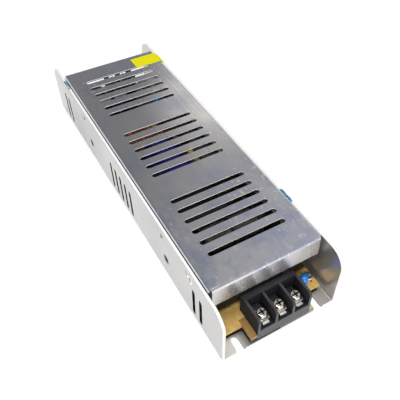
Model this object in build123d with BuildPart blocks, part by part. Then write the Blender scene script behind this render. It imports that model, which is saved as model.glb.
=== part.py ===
from build123d import *
import os

# Slim switching power supply in a folded aluminium case. Sizes are millimetres.
# X runs across the case, Y along it with the supply terminals at -Y, and Z up.
# The origin is the centre of the footprint, on the underside of the base.
# A station is a place along Y in a case of drawn_length, and moves in proportion in another.

# Base channel
drawn_length = 220.0
case_length = 220.0
case_width = 65.0
wall_height = 34.8
sheet = 1.5
bend_radius = 2.2
wall_corner_radius = 9.5

# Mounting notches in the floor's ends
notch_spacing = 44.6
notch_width = 3.8
notch_depth = 8.0
notch_mouth_radius = 1.4

# Upright slots in the side walls
wall_slot_length = 19.0
wall_slot_width = 2.6
wall_slot_pitch = 6.6
wall_slot_middle_count = 5
wall_slot_end_count = 2
wall_slot_middle_y = 0.85
wall_slot_end_inset = 22.8
wall_slot_base = 5.0

# Tapped holes for fixing the case by its side, and pressed dimples
side_hole_spacing = 101.8
side_hole_y = -4.3
side_hole_z = 14.3
side_hole_radius = 1.65
side_hole_chamfer = 0.6
dimple_spacing = 104.8
dimple_middle_y = 0.6
dimple_radius = 1.2
dimple_depth = 0.5
dimple_flare = 40.0

# Top cover
cover_sheet = 1.0
cover_rise = 1.5
cover_gap = 0.35
cover_front_inset = 14.6
cover_rear_inset = 18.7
cover_bend_radius = 1.6
front_flange_depth = 12.1
side_flange_depth = 11.0
rear_flange_depth = 8.0
corner_relief_radius = 1.5

# Cooling slots in the cover
slot_fields = 3
slots_per_field = 6
slot_length = 42.4
slot_width = 3.0
slot_pitch = 7.39
field_pitch = 58.15
slot_shift = 1.1

# Cover screws through the side walls
cover_screw_z = 28.9
cover_screw_end_inset = 29.1
cover_screw_radius = 1.2
cover_screw_length = 4.6
countersink_radius = 2.7
cover_recess_span = 3.0

# Circuit board, its stand-offs and the sheet under it
board_thickness = 1.6
board_side_gap = 2.3
board_end_inset = 8.2
board_tongue_inset = 0.3
front_tongue_left = 3.5
front_tongue_right = 1.2
standoff_height = 3.5
standoff_radius = 2.75
board_screw_radius = 1.2
board_screw_head_radius = 2.6
board_screw_head_height = 1.8
board_screw_head_round = 0.6
board_screw_length = 4.0
board_screw_inset = 2.9
board_screw_end_inset = 14.5
front_left_shift_x = 5.0
front_left_shift_y = 12.0
middle_screw_station = 18.0
leg_slot_gap = 0.1
liner_thickness = 0.3
liner_inset = 0.3
liner_tongue_inset = 1.5

# Barrier terminal blocks
front_pitch = 9.5
front_poles = 3
front_disc_gap = 3.8
rear_pitch = 8.25
rear_poles = 2
rear_block_x = 8.9
rear_tongue_side = 1.6
block_depth = 15.6
block_height = 12.0
block_inset = 0.3
block_rear_wall = 3.0
divider_thickness = 1.3
divider_run = 1.4
divider_drop = 2.2
lip_thickness = 1.2
lip_height = 3.1
skirt_drop = 3.6
bay_floor = 2.2
pedestal_height = 4.0
pedestal_width = 5.6
contact_thickness = 0.8
contact_nose_width = 3.4
contact_nose_length = 2.6
contact_leg_width = 2.4
contact_leg_reach = 1.4
terminal_screw_radius = 1.5
terminal_head_radius = 2.7
terminal_head_height = 2.2
terminal_screw_back = 5.6
terminal_screw_length = 5.2
terminal_hole_depth = 3.4
terminal_tip_chamfer = 0.4
terminal_head_round = 0.8
clamp_thickness = 1.0
clamp_width = 6.2
clamp_corner = 0.7
clamp_chamfer = 0.25
recess_long = 4.0
recess_short = 3.2
recess_width = 0.8
recess_depth = 1.1

# Clearances
running_gap = 0.05
seat_gap = 0.1
open_gap = 0.3

# Bar that carries heat to the right wall, and what is held against it
bar_thickness = 2.0
bar_base = 2.6
bar_top = 17.0
bar_front_inset = 40.0
bar_rear_inset = 46.0
pad_thickness = 0.2
package_width = 10.0
package_thickness = 4.4
package_height = 9.4
package_stand = 0.9
package_chamfer = 0.9
package_leads = 3
package_lead_width = 0.9
package_lead_thickness = 0.45
package_lead_pitch = 2.54
switch_station = -40.0
rectifier_station = 28.0
package_spacing = 14.0
strip_thickness = 1.0
strip_height = 5.0
strip_corner = 1.0
strip_screw_radius = 1.2
strip_head_radius = 2.4
strip_head_height = 1.6
strip_head_round = 0.5

# Shape of a dipped disc: fractions of its radius, or of its thickness for the dip's and the rim's
dip_drop = 0.72
dip_width = 1.25
dip_length = 0.8
dip_thickness = 0.6
disc_lead_spread = 0.42
disc_lead_overlap = 0.35
disc_rim_round = 0.42

# Supply side parts
fuse_side_gap = 4.7
fuse_end_gap = 1.0
fuse_radius = 2.6
fuse_length = 20.0
fuse_cap_length = 5.0
fuse_cap_wall = 0.25
fuse_height = 5.0
clip_width = 4.0
clip_sheet = 0.5
clip_mouth = 3.6
thermistor_x = -15.0
thermistor_station = -77.0
thermistor_radius = 7.0
thermistor_thickness = 5.0
disc_lead_radius = 0.4
disc_lead_length = 2.2
front_disc_screw_x = 5.6
front_disc_screw_y = 3.4
front_disc_radius = 3.6
front_disc_thickness = 4.0
front_disc_turn = 45.0
bridge_bar_gap = 0.7
bridge_strip_gap = 0.5
bridge_width = 15.0
bridge_thickness = 4.6
bridge_height = 12.0
bridge_cut = 2.4
bridge_leads = 4
bridge_lead_pitch = 3.75
choke_x = 1.5
choke_station = -59.0
choke_bridge_gap = 1.3
choke_radius = 7.0
choke_limb = 4.8
choke_tube_wall = 1.0
choke_flange = 1.2
choke_flange_rim = 1.0
choke_skirt_height = 8.9
comb_shift = -3.5
comb_teeth = 7
comb_pitch = 1.7
comb_tooth_width = 0.85
comb_reach = 4.0
potted_x = -6.5
potted_station = -37.5
potted_width = 28.0
potted_length = 21.0
potted_height = 19.0
potted_corner = 1.0
cup_wall = 1.2

# Middle parts
bulk_x = -1.5
bulk_station = -2.0
bulk_radius = 11.0
bulk_length = 35.0
bulk_groove_radius = 0.8
bulk_groove_inset = 3.2
transformer_x = 17.0
transformer_station = -3.0
transformer_width = 13.0
transformer_length = 32.0
transformer_height = 20.0
transformer_end_limb = 5.0
transformer_middle_limb = 7.0
transformer_yoke = 3.6
core_depth = 7.8
bobbin_flange = 1.0
bobbin_wall = 0.6
winding_corner = 1.0
ring_x = -4.0
ring_station = 36.5
ring_outer = 12.0
ring_inner = 7.6
ring_height = 14.0
ring_wire = 1.9
ring_round = 1.0
ring_wound_angle = 335.0

# Output side parts
can_radius = 5.0
can_height = 20.0
can_pitch = 10.8
can_x = -14.6
can_station = 79.5
rear_disc_x = 20.0
rear_disc_station = 62.0
rear_disc_radius = 5.0
rear_disc_thickness = 3.6
lamp_x = 17.6
lamp_block_gap = 7.6
lamp_radius = 1.5
lamp_rim = 0.4
lamp_height = 5.4
trimmer_x = -14.0
trimmer_end_gap = 4.2
trimmer_width = 6.8
trimmer_height = 4.6
trimmer_corner = 0.4
rotor_radius = 1.9
rotor_height = 1.4
rotor_stand = 0.4
rotor_slot_length = 2.8
rotor_slot_width = 0.8
rotor_slot_depth = 0.7
chip_x = -21.5
chip_station = -2.0
chip_length = 19.6
chip_pins = 8
coupler_x = -22.0
coupler_station = 24.0
coupler_length = 5.1
coupler_pins = 2
moulded_width = 6.4
moulded_height = 3.2
moulded_taper = 8.0
resistor_radius = 2.2
resistor_length = 9.0
resistor_waist_radius = 1.9
resistor_waist_length = 4.6
resistor_lead_reach = 1.8
resistor_lead_width = 0.6
small_can_radius = 3.15
small_can_height = 11.0
can_groove_radius = 0.5
can_groove_height = 2.0
can_score_width = 0.4
can_score_depth = 0.2
small_can_stations = [(-22.5, 44.0), (-22.5, 52.0), (15.5, 52.0)]
resistor_stations = [(-24.5, -50.0), (24.0, 76.0), (16.5, 30.0)]

# Sticker and scraps of film
sticker_x = 13.3
sticker_rear_gap = 10.1
sticker_length = 10.7
sticker_thickness = 0.12
film_thickness = 0.1
film_length = 10.0
film_end_width = 5.0
film_end_length = 0.8
film_right_inset = 46.0
film_left_inset = 28.0
film_corner_gap = 3.15

# Levels and places that follow from the sizes above
stretch = case_length / drawn_length
inner_half = case_width / 2 - sheet
board_base = sheet + standoff_height
board_top = board_base + board_thickness
cover_top = wall_height + cover_rise
cover_half = inner_half - cover_gap
cover_front = -case_length / 2 + cover_front_inset
cover_rear = case_length / 2 - cover_rear_inset
cover_middle = (cover_front + cover_rear) / 2
slot_middle = cover_middle + slot_shift
board_half = inner_half - board_side_gap
board_end = case_length / 2 - board_end_inset
board_tongue_end = case_length / 2 - board_tongue_inset
pedestal_top = board_top + pedestal_height
clamp_base = pedestal_top + contact_thickness + open_gap
head_base = clamp_base + clamp_thickness + seat_gap
bar_face = inner_half - bar_thickness
hole_y = [side_hole_y - side_hole_spacing / 2, side_hole_y + side_hole_spacing / 2]
cover_screw_y = -case_length / 2 + cover_screw_end_inset
screw_edge = board_half - board_screw_inset
screw_end = case_length / 2 - board_screw_end_inset
bar_length = case_length - bar_front_inset - bar_rear_inset
bar_middle = (bar_front_inset - bar_rear_inset) / 2
strip_face = bar_face - pad_thickness - package_thickness
strip_z = board_top + package_stand + package_height / 2
strip_length = package_spacing + package_width
switch_y = stretch * switch_station
rectifier_y = stretch * rectifier_station
switch_places = [switch_y - package_spacing / 2, switch_y + package_spacing / 2]
rectifier_places = [rectifier_y - package_spacing / 2, rectifier_y + package_spacing / 2]
strip_screw_y = [switch_y, rectifier_y]
bridge_x = bar_face - bridge_bar_gap - bridge_thickness / 2
bridge_y = switch_y - strip_length / 2 - bridge_strip_gap - bridge_width / 2
bridge_face = bridge_x - bridge_thickness / 2
choke_y = stretch * choke_station
choke_length = 2 * (bridge_face - choke_bridge_gap - choke_limb - seat_gap - choke_x)
fuse_x = bridge_face - fuse_side_gap
fuse_y = choke_y - choke_radius - fuse_end_gap - fuse_length / 2
front_disc_x = screw_edge - front_disc_screw_x
front_disc_y = -screw_end - front_disc_screw_y
front_half = (front_poles * front_pitch + divider_thickness) / 2
rear_half = (rear_poles * rear_pitch + divider_thickness) / 2
front_block_x = front_disc_x - front_disc_gap - front_half
thermistor_y = stretch * thermistor_station
potted_y = stretch * potted_station
bulk_y = stretch * bulk_station
transformer_y = stretch * transformer_station
ring_y = stretch * ring_station
can_y = stretch * can_station
rear_disc_y = stretch * rear_disc_station
lamp_y = case_length / 2 - block_inset - block_depth - lamp_block_gap
trimmer_y = board_end - trimmer_end_gap
chip_y = stretch * chip_station
coupler_y = stretch * coupler_station
small_can_places = [(x, stretch * y) for x, y in small_can_stations]
resistor_places = [(x, stretch * y) for x, y in resistor_stations]
sticker_y = cover_rear - sticker_rear_gap
film_end_y = cover_rear - cover_bend_radius - film_end_length
film_places = [
    (inner_half + sheet / 2, film_right_inset - case_length / 2, wall_height, sheet, film_length),
    (-inner_half - sheet / 2, case_length / 2 - film_left_inset, wall_height, sheet, film_length),
    (cover_half - film_corner_gap, film_end_y, cover_top, film_end_width, film_end_length),
]
board_holes = [
    (screw_edge, -screw_end),
    (-screw_edge + front_left_shift_x, -screw_end + front_left_shift_y),
    (screw_edge, screw_end),
    (-screw_edge, screw_end),
    (-screw_edge, stretch * middle_screw_station),
]

os.makedirs("parts", exist_ok=True)


def keep(piece, name):
    """Label a finished piece and write it to its own file."""
    piece.part.label = name
    export_step(piece.part, f"parts/{name}.step")


def wall_slot_places(slotted_ends):
    """Centres, along Y, of a side wall's upright slots: its middle row, and a row near each slotted end."""
    middle = [
        wall_slot_middle_y + (i - (wall_slot_middle_count - 1) / 2) * wall_slot_pitch
        for i in range(wall_slot_middle_count)
    ]
    ends = [
        end * (case_length / 2 - wall_slot_end_inset) + (i - (wall_slot_end_count - 1) / 2) * wall_slot_pitch
        for end in slotted_ends
        for i in range(wall_slot_end_count)
    ]
    return middle + ends


# Base channel: one sheet folded into a U
with BuildPart() as base_channel:
    with BuildSketch(Plane.XZ) as outer_section:
        with Locations((0, wall_height / 2)):
            Rectangle(case_width, wall_height)
        fillet(outer_section.vertices().group_by(Axis.Y)[0], bend_radius)
    extrude(amount=case_length / 2, both=True)
    with BuildSketch(Plane.XZ) as hollow_section:
        with Locations((0, sheet + wall_height / 2)):
            Rectangle(case_width - 2 * sheet, wall_height)
        fillet(hollow_section.vertices().group_by(Axis.Y)[0], bend_radius - sheet)
    extrude(amount=case_length / 2, both=True, mode=Mode.SUBTRACT)
    wall_tops = base_channel.edges().filter_by(Axis.X).group_by(Axis.Z)[-1]
    fillet(wall_tops, wall_corner_radius)
    with BuildSketch(Plane.XY):
        for end in (-1, 1):
            with Locations((0, end * case_length / 2)):
                with GridLocations(notch_spacing, 0, 2, 1):
                    SlotOverall(2 * notch_depth, notch_width, rotation=90)
    extrude(amount=sheet, mode=Mode.SUBTRACT)
    floor_ends = base_channel.edges().filter_by(Axis.Z).filter_by(
        lambda edge: abs(abs(edge.center().Y) - case_length / 2) < open_gap
        and abs(edge.center().X) < inner_half - bend_radius
    )
    fillet(floor_ends, notch_mouth_radius)
    for side, slotted_ends in ((-1, (-1, 1)), (1, (1,))):
        with BuildSketch(Plane.YZ):
            for y in wall_slot_places(slotted_ends):
                with Locations((y, wall_slot_base + wall_slot_length / 2)):
                    SlotOverall(wall_slot_length, wall_slot_width, rotation=90)
            for y in hole_y:
                with Locations((y, side_hole_z)):
                    Circle(side_hole_radius)
        extrude(amount=side * case_width, mode=Mode.SUBTRACT)
    hole_rims = base_channel.edges().filter_by(GeomType.CIRCLE).filter_by(
        lambda edge: abs(edge.radius - side_hole_radius) < running_gap
        and abs(abs(edge.center().X) - case_width / 2) < running_gap
    )
    chamfer(hole_rims, side_hole_chamfer)
    for side in (-1, 1):
        outside = Plane(origin=(side * case_width / 2, 0, 0), x_dir=(0, side, 0), z_dir=(side, 0, 0))
        with Locations(outside.location):
            with Locations((side * cover_screw_y, cover_screw_z)):
                CounterSinkHole(cover_screw_radius + running_gap, countersink_radius + running_gap, sheet)
        dimple_spots = [
            (side * (dimple_middle_y - dimple_spacing / 2), cover_screw_z),
            (side * (dimple_middle_y + dimple_spacing / 2), cover_screw_z),
        ]
        with BuildSketch(outside.offset(-sheet)):
            with Locations(*dimple_spots):
                Circle(dimple_radius)
        extrude(amount=-(cover_gap - running_gap), taper=dimple_flare)
        with BuildSketch(outside):
            with Locations(*dimple_spots):
                Circle(dimple_radius)
        extrude(amount=-dimple_depth, taper=dimple_flare, mode=Mode.SUBTRACT)
keep(base_channel, "base_channel")


# Top cover: a shallow folded tray turned over, with four relieved corners
with BuildPart() as top_cover:
    with BuildSketch(Plane.XY.offset(cover_top)):
        with Locations((0, cover_middle)):
            Rectangle(2 * cover_half, cover_rear - cover_front)
    extrude(amount=-front_flange_depth)
    top_edges = top_cover.faces().sort_by(Axis.Z)[-1].edges()
    fillet(top_edges, cover_bend_radius)
    underside = top_cover.faces().sort_by(Axis.Z)[0]
    offset(amount=-cover_sheet, openings=underside)
    corner_spots = [(x, y) for x in (-cover_half, cover_half) for y in (cover_front, cover_rear)]
    with BuildSketch(Plane.XY.offset(cover_top)):
        with Locations(*corner_spots):
            Circle(corner_relief_radius)
    extrude(amount=-front_flange_depth, mode=Mode.SUBTRACT)
    with BuildSketch(Plane.XY.offset(cover_top - side_flange_depth)):
        with Locations((0, cover_middle)):
            Rectangle(2 * cover_half, cover_rear - cover_front - 2 * cover_bend_radius)
    extrude(amount=-front_flange_depth, mode=Mode.SUBTRACT)
    with BuildSketch(Plane.XY.offset(cover_top - rear_flange_depth)):
        with Locations((0, cover_rear)):
            Rectangle(2 * (cover_half - cover_bend_radius), 2 * cover_bend_radius)
    extrude(amount=-front_flange_depth, mode=Mode.SUBTRACT)
    with BuildSketch(Plane.XY.offset(cover_top)):
        with Locations((0, slot_middle)):
            with GridLocations(0, field_pitch, 1, slot_fields):
                with GridLocations(0, slot_pitch, 1, slots_per_field):
                    SlotOverall(slot_length, slot_width)
    extrude(amount=-cover_sheet, mode=Mode.SUBTRACT)
    with BuildSketch(Plane.YZ):
        with Locations((cover_screw_y, cover_screw_z)):
            Circle(cover_screw_radius + running_gap)
    extrude(amount=case_width, both=True, mode=Mode.SUBTRACT)
keep(top_cover, "top_cover")


# Cover screws: countersunk, one in each side wall
with BuildPart() as cover_screws:
    for side in (-1, 1):
        axis_start = (side * case_width / 2, cover_screw_y, cover_screw_z)
        flank = Plane(origin=axis_start, x_dir=(0, 1, 0), z_dir=(0, 0, side))
        with BuildSketch(flank):
            with BuildLine():
                Polyline(
                    (0, 0),
                    (countersink_radius - running_gap, 0),
                    (cover_screw_radius, countersink_radius - running_gap - cover_screw_radius),
                    (cover_screw_radius, cover_screw_length),
                    (0, cover_screw_length),
                    close=True,
                )
            make_face()
        revolve(axis=Axis(axis_start, (1, 0, 0)))
        with BuildSketch(Plane(origin=axis_start, x_dir=(0, side, 0), z_dir=(side, 0, 0))):
            Rectangle(cover_recess_span, recess_width)
            Rectangle(recess_width, cover_recess_span)
        extrude(amount=-recess_depth, mode=Mode.SUBTRACT)
keep(cover_screws, "cover_screws")


def board_outline(margin, tongue_margin):
    """Corners of the board, drawn in by margins, with a tongue under each terminal block."""
    side = board_half - margin
    end = board_end - margin
    tongue = board_tongue_end - tongue_margin
    front_left = front_block_x - front_half - front_tongue_left + margin
    front_right = front_block_x + front_half + front_tongue_right - margin
    rear_left = rear_block_x - rear_half - rear_tongue_side + margin
    rear_right = rear_block_x + rear_half + rear_tongue_side - margin
    return [
        (-side, -end),
        (front_left, -end),
        (front_left, -tongue),
        (front_right, -tongue),
        (front_right, -end),
        (side, -end),
        (side, end),
        (rear_right, end),
        (rear_right, tongue),
        (rear_left, tongue),
        (rear_left, end),
        (-side, end),
    ]


def block_frame(centre_x, end):
    """Plane on the board at a terminal block's outer foot, with Y pointing out of the case."""
    foot = (centre_x, end * (case_length / 2 - block_inset), board_top)
    return Plane(origin=foot, x_dir=(end, 0, 0), z_dir=(0, 0, 1))


def pole_places(pitch, poles):
    """Distances of a block's poles from its middle."""
    return [(i - (poles - 1) / 2) * pitch for i in range(poles)]


front_frame = block_frame(front_block_x, -1)
rear_frame = block_frame(rear_block_x, 1)
front_poles_x = pole_places(front_pitch, front_poles)
rear_poles_x = pole_places(rear_pitch, rear_poles)
contact_back = -block_depth + block_rear_wall + seat_gap
contact_leg_y = contact_back + contact_leg_reach


# Circuit board with its screw holes, the slots for the contacts' legs and a step for each block's skirt
with BuildPart() as circuit_board:
    with BuildSketch(Plane.XY.offset(board_base)):
        with BuildLine():
            Polyline(*board_outline(0, 0), close=True)
        make_face()
        with Locations(*board_holes):
            Circle(board_screw_radius + running_gap, mode=Mode.SUBTRACT)
    extrude(amount=board_thickness)
    for frame, places, half in (
        (front_frame, front_poles_x, front_half),
        (rear_frame, rear_poles_x, rear_half),
    ):
        with BuildSketch(frame):
            with Locations(*[(x, contact_leg_y) for x in places]):
                Rectangle(contact_leg_width + 2 * leg_slot_gap, contact_thickness + 2 * leg_slot_gap)
            Rectangle(2 * (half + seat_gap), 2 * (lip_thickness + seat_gap))
        extrude(amount=-board_thickness, mode=Mode.SUBTRACT)
keep(circuit_board, "circuit_board")


# Insulating sheet on the floor, cut round the stand-offs
with BuildPart() as insulating_sheet:
    with BuildSketch(Plane.XY.offset(sheet)):
        with BuildLine():
            Polyline(*board_outline(liner_inset, liner_tongue_inset), close=True)
        make_face()
        with Locations(*board_holes):
            Circle(standoff_radius + open_gap, mode=Mode.SUBTRACT)
    extrude(amount=liner_thickness)
keep(insulating_sheet, "insulating_sheet")


# Stand-offs on the floor, tapped for the board screws
with BuildPart() as board_standoffs:
    with BuildSketch(Plane.XY.offset(sheet)):
        with Locations(*board_holes):
            Circle(standoff_radius)
            Circle(board_screw_radius + running_gap, mode=Mode.SUBTRACT)
    extrude(amount=standoff_height)
keep(board_standoffs, "board_standoffs")


# Pan head screws through the board
with BuildPart() as board_screws:
    with BuildSketch(Plane.XY.offset(board_top)):
        with Locations(*board_holes):
            Circle(board_screw_head_radius)
    extrude(amount=board_screw_head_height)
    fillet(board_screws.edges().group_by(Axis.Z)[-1], board_screw_head_round)
    head_top = board_top + board_screw_head_height
    with BuildSketch(Plane.XY.offset(head_top)):
        with Locations(*board_holes):
            Rectangle(board_screw_head_radius, recess_width)
            Rectangle(recess_width, board_screw_head_radius)
    extrude(amount=-board_screw_head_height / 2, mode=Mode.SUBTRACT)
    with BuildSketch(Plane.XY.offset(board_top)):
        with Locations(*board_holes):
            Circle(board_screw_radius)
    extrude(amount=-board_screw_length)
keep(board_screws, "board_screws")


def block_housing(frame, pitch, places):
    """Moulded body of a barrier block, with a divider beside each pole and a skirt over the board's end."""
    section = Plane(origin=frame.origin, x_dir=frame.y_dir, z_dir=frame.x_dir)
    pedestal_back = contact_back
    pedestal_length = -pedestal_back - lip_thickness - contact_nose_width / 2
    with BuildPart() as housing:
        with BuildSketch(section):
            with BuildLine():
                Polyline(
                    (0, -skirt_drop),
                    (0, lip_height),
                    (-lip_thickness, lip_height),
                    (-lip_thickness, bay_floor),
                    (-block_depth + block_rear_wall, bay_floor),
                    (-block_depth + block_rear_wall, block_height),
                    (-block_depth, block_height),
                    (-block_depth, 0),
                    (-lip_thickness, 0),
                    (-lip_thickness, -skirt_drop),
                    close=True,
                )
            make_face()
        extrude(amount=len(places) * pitch / 2, both=True)
        for x in [places[0] - pitch / 2] + [place + pitch / 2 for place in places]:
            with BuildSketch(section.offset(x)):
                with BuildLine():
                    Polyline(
                        (0, -skirt_drop),
                        (0, block_height - divider_drop),
                        (-divider_run, block_height),
                        (-block_depth, block_height),
                        (-block_depth, 0),
                        (-lip_thickness, 0),
                        (-lip_thickness, -skirt_drop),
                        close=True,
                    )
                make_face()
            extrude(amount=divider_thickness / 2, both=True)
        with BuildSketch(frame):
            with Locations(*[(x, pedestal_back + pedestal_length / 2) for x in places]):
                Rectangle(pedestal_width, pedestal_length)
        extrude(amount=pedestal_height)
        with BuildSketch(frame.offset(pedestal_height)):
            with Locations(*[(x, -terminal_screw_back) for x in places]):
                Circle(terminal_screw_radius + open_gap)
        extrude(amount=-terminal_hole_depth, mode=Mode.SUBTRACT)
        with BuildSketch(frame):
            with Locations(*[(x, contact_leg_y) for x in places]):
                Rectangle(contact_leg_width + 2 * leg_slot_gap, contact_thickness + 2 * leg_slot_gap)
        extrude(amount=pedestal_height, mode=Mode.SUBTRACT)
    return housing


def block_contacts(frame, places):
    """Flat contact under each screw, with a narrow nose in front and a leg through the board."""
    nose_end = -lip_thickness
    body_end = nose_end - contact_nose_length
    with BuildPart() as contacts:
        with BuildSketch(frame.offset(pedestal_height)):
            with Locations(*[(x, (contact_back + body_end) / 2) for x in places]):
                Rectangle(pedestal_width, body_end - contact_back)
            with Locations(*[(x, (contact_back + nose_end) / 2) for x in places]):
                Rectangle(contact_nose_width, nose_end - contact_back)
            with Locations(*[(x, -terminal_screw_back) for x in places]):
                Circle(terminal_screw_radius + running_gap, mode=Mode.SUBTRACT)
        extrude(amount=contact_thickness)
        with BuildSketch(frame.offset(pedestal_height)):
            with Locations(*[(x, contact_leg_y) for x in places]):
                Rectangle(contact_leg_width, contact_thickness)
        extrude(amount=-(pedestal_height + board_thickness + contact_thickness))
    return contacts


def terminal_screw(frame, x):
    """Captive screw standing in its contact, head up, with a cross recess."""
    spot = frame.from_local_coords((x, -terminal_screw_back, head_base - board_top))
    seat = Plane(origin=spot, x_dir=frame.x_dir, z_dir=(0, 0, 1))
    with BuildPart() as screw:
        with BuildSketch(seat):
            Circle(terminal_head_radius)
        extrude(amount=terminal_head_height)
        fillet(screw.edges().sort_by(Axis.Z)[-1], terminal_head_round)
        with BuildSketch(seat.offset(terminal_head_height)):
            Rectangle(recess_long, recess_width)
            Rectangle(recess_width, recess_short)
        extrude(amount=-recess_depth, mode=Mode.SUBTRACT)
        with BuildSketch(seat):
            Circle(terminal_screw_radius)
        extrude(amount=-terminal_screw_length)
        chamfer(screw.edges().sort_by(Axis.Z)[0], terminal_tip_chamfer)
    return screw


def wire_clamp(frame, x):
    """Square clamp plate that rides under its screw's head."""
    spot = frame.from_local_coords((x, -terminal_screw_back, clamp_base - board_top))
    with BuildPart() as clamp:
        with BuildSketch(Plane(origin=spot, x_dir=frame.x_dir, z_dir=(0, 0, 1))):
            RectangleRounded(clamp_width, clamp_width, clamp_corner)
            Circle(terminal_screw_radius + running_gap, mode=Mode.SUBTRACT)
        extrude(amount=clamp_thickness)
        chamfer(clamp.faces().sort_by(Axis.Z)[-1].outer_wire().edges(), clamp_chamfer)
    return clamp


# Both terminal blocks, each with its contacts, screws and clamps
for word, frame, pitch, places in (
    ("input", front_frame, front_pitch, front_poles_x),
    ("output", rear_frame, rear_pitch, rear_poles_x),
):
    keep(block_housing(frame, pitch, places), f"{word}_terminal_housing")
    keep(block_contacts(frame, places), f"{word}_contacts")
    for number, place in enumerate(places, start=1):
        keep(terminal_screw(frame, place), f"{word}_screw_{number}")
        keep(wire_clamp(frame, place), f"{word}_clamp_{number}")


# Bar along the right wall that takes the heat out, with the side holes carried through
with BuildPart() as heat_bar:
    with BuildSketch(Plane.YZ.offset(bar_face)):
        with Locations((bar_middle, (bar_base + bar_top) / 2)):
            Rectangle(bar_length, bar_top - bar_base)
        with Locations(*[(y, side_hole_z) for y in hole_y]):
            Circle(side_hole_radius, mode=Mode.SUBTRACT)
        with Locations(*[(y, strip_z) for y in strip_screw_y]):
            Circle(strip_screw_radius + running_gap, mode=Mode.SUBTRACT)
    extrude(amount=bar_thickness)
    bar_ends = heat_bar.edges().filter_by(Axis.X).group_by(Axis.Z)[-1]
    chamfer(bar_ends, bar_thickness)
keep(heat_bar, "heat_bar")


def semiconductor(y):
    """Moulded package standing against the bar on its legs."""
    spot = (bar_face - pad_thickness - package_thickness / 2, y)
    with BuildPart() as package:
        with BuildSketch(Plane.XY.offset(board_top + package_stand)):
            with Locations(spot):
                Rectangle(package_thickness, package_width)
        extrude(amount=package_height)
        front_edges = package.edges().filter_by(Axis.Z).group_by(Axis.X)[0]
        chamfer(front_edges, package_chamfer)
        with BuildSketch(Plane.XY.offset(board_top)):
            with Locations(spot):
                with GridLocations(0, package_lead_pitch, 1, package_leads):
                    Rectangle(package_lead_thickness, package_lead_width)
        extrude(amount=package_stand)
    return package


for number, y in enumerate(switch_places, start=1):
    keep(semiconductor(y), f"power_switch_{number}")
for number, y in enumerate(rectifier_places, start=1):
    keep(semiconductor(y), f"output_rectifier_{number}")


# Thermal pads between the packages and the bar
with BuildPart() as thermal_pads:
    with BuildSketch(Plane.YZ.offset(bar_face - pad_thickness)):
        with Locations(*[(y, strip_z) for y in switch_places + rectifier_places]):
            Rectangle(package_width, package_height)
    extrude(amount=pad_thickness)
keep(thermal_pads, "thermal_pads")


# Two spring strips that press the packages on the bar, and their screws
with BuildPart() as clamp_strips:
    with BuildSketch(Plane.YZ.offset(strip_face - strip_thickness)):
        with Locations(*[(y, strip_z) for y in strip_screw_y]):
            Rectangle(strip_length, strip_height)
            Circle(strip_screw_radius + running_gap, mode=Mode.SUBTRACT)
    extrude(amount=strip_thickness)
    strip_corners = clamp_strips.edges().filter_by(Axis.X)
    fillet(strip_corners, strip_corner)
keep(clamp_strips, "clamp_strips")

with BuildPart() as strip_screws:
    with BuildSketch(Plane.YZ.offset(strip_face - strip_thickness)):
        with Locations(*[(y, strip_z) for y in strip_screw_y]):
            Circle(strip_head_radius)
    extrude(amount=-strip_head_height)
    fillet(strip_screws.edges().group_by(Axis.X)[0], strip_head_round)
    with BuildSketch(Plane.YZ.offset(strip_face - strip_thickness)):
        with Locations(*[(y, strip_z) for y in strip_screw_y]):
            Circle(strip_screw_radius)
    extrude(amount=inner_half - strip_face + strip_thickness - seat_gap)
keep(strip_screws, "strip_screws")


# Supply fuse: glass tube, two end caps and the two clips that hold them
fuse_z = board_top + fuse_height
fuse_ends = [fuse_y - (fuse_length - fuse_cap_length) / 2, fuse_y + (fuse_length - fuse_cap_length) / 2]
with BuildPart() as fuse_glass:
    with BuildSketch(Plane.XZ.offset(-fuse_y)):
        with Locations((fuse_x, fuse_z)):
            Circle(fuse_radius - fuse_cap_wall - running_gap)
    extrude(amount=fuse_length / 2 - fuse_cap_wall - running_gap, both=True)
keep(fuse_glass, "fuse_glass")

with BuildPart() as fuse_caps:
    for end in (-1, 1):
        with BuildSketch(Plane.XZ.offset(-(fuse_y + end * fuse_length / 2))):
            with Locations((fuse_x, fuse_z)):
                Circle(fuse_radius)
        extrude(amount=end * fuse_cap_length)
        with BuildSketch(Plane.XZ.offset(-(fuse_y + end * (fuse_length / 2 - fuse_cap_wall)))):
            with Locations((fuse_x, fuse_z)):
                Circle(fuse_radius - fuse_cap_wall)
        extrude(amount=end * fuse_cap_length, mode=Mode.SUBTRACT)
keep(fuse_caps, "fuse_caps")

with BuildPart() as fuse_clips:
    for y in fuse_ends:
        with BuildSketch(Plane.XZ.offset(-y)):
            with Locations((fuse_x, fuse_z)):
                Circle(fuse_radius + running_gap + clip_sheet)
            with Locations((fuse_x, (board_top + fuse_z) / 2)):
                Rectangle(fuse_radius, fuse_z - board_top)
            with Locations((fuse_x, board_top + clip_sheet / 2)):
                Rectangle(2 * fuse_radius + 2 * clip_sheet, clip_sheet)
            with Locations((fuse_x, fuse_z)):
                Circle(fuse_radius + running_gap, mode=Mode.SUBTRACT)
            with Locations((fuse_x, fuse_z + fuse_radius)):
                Rectangle(clip_mouth, clip_mouth, mode=Mode.SUBTRACT)
        extrude(amount=clip_width / 2, both=True)
keep(fuse_clips, "fuse_clips")


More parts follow.
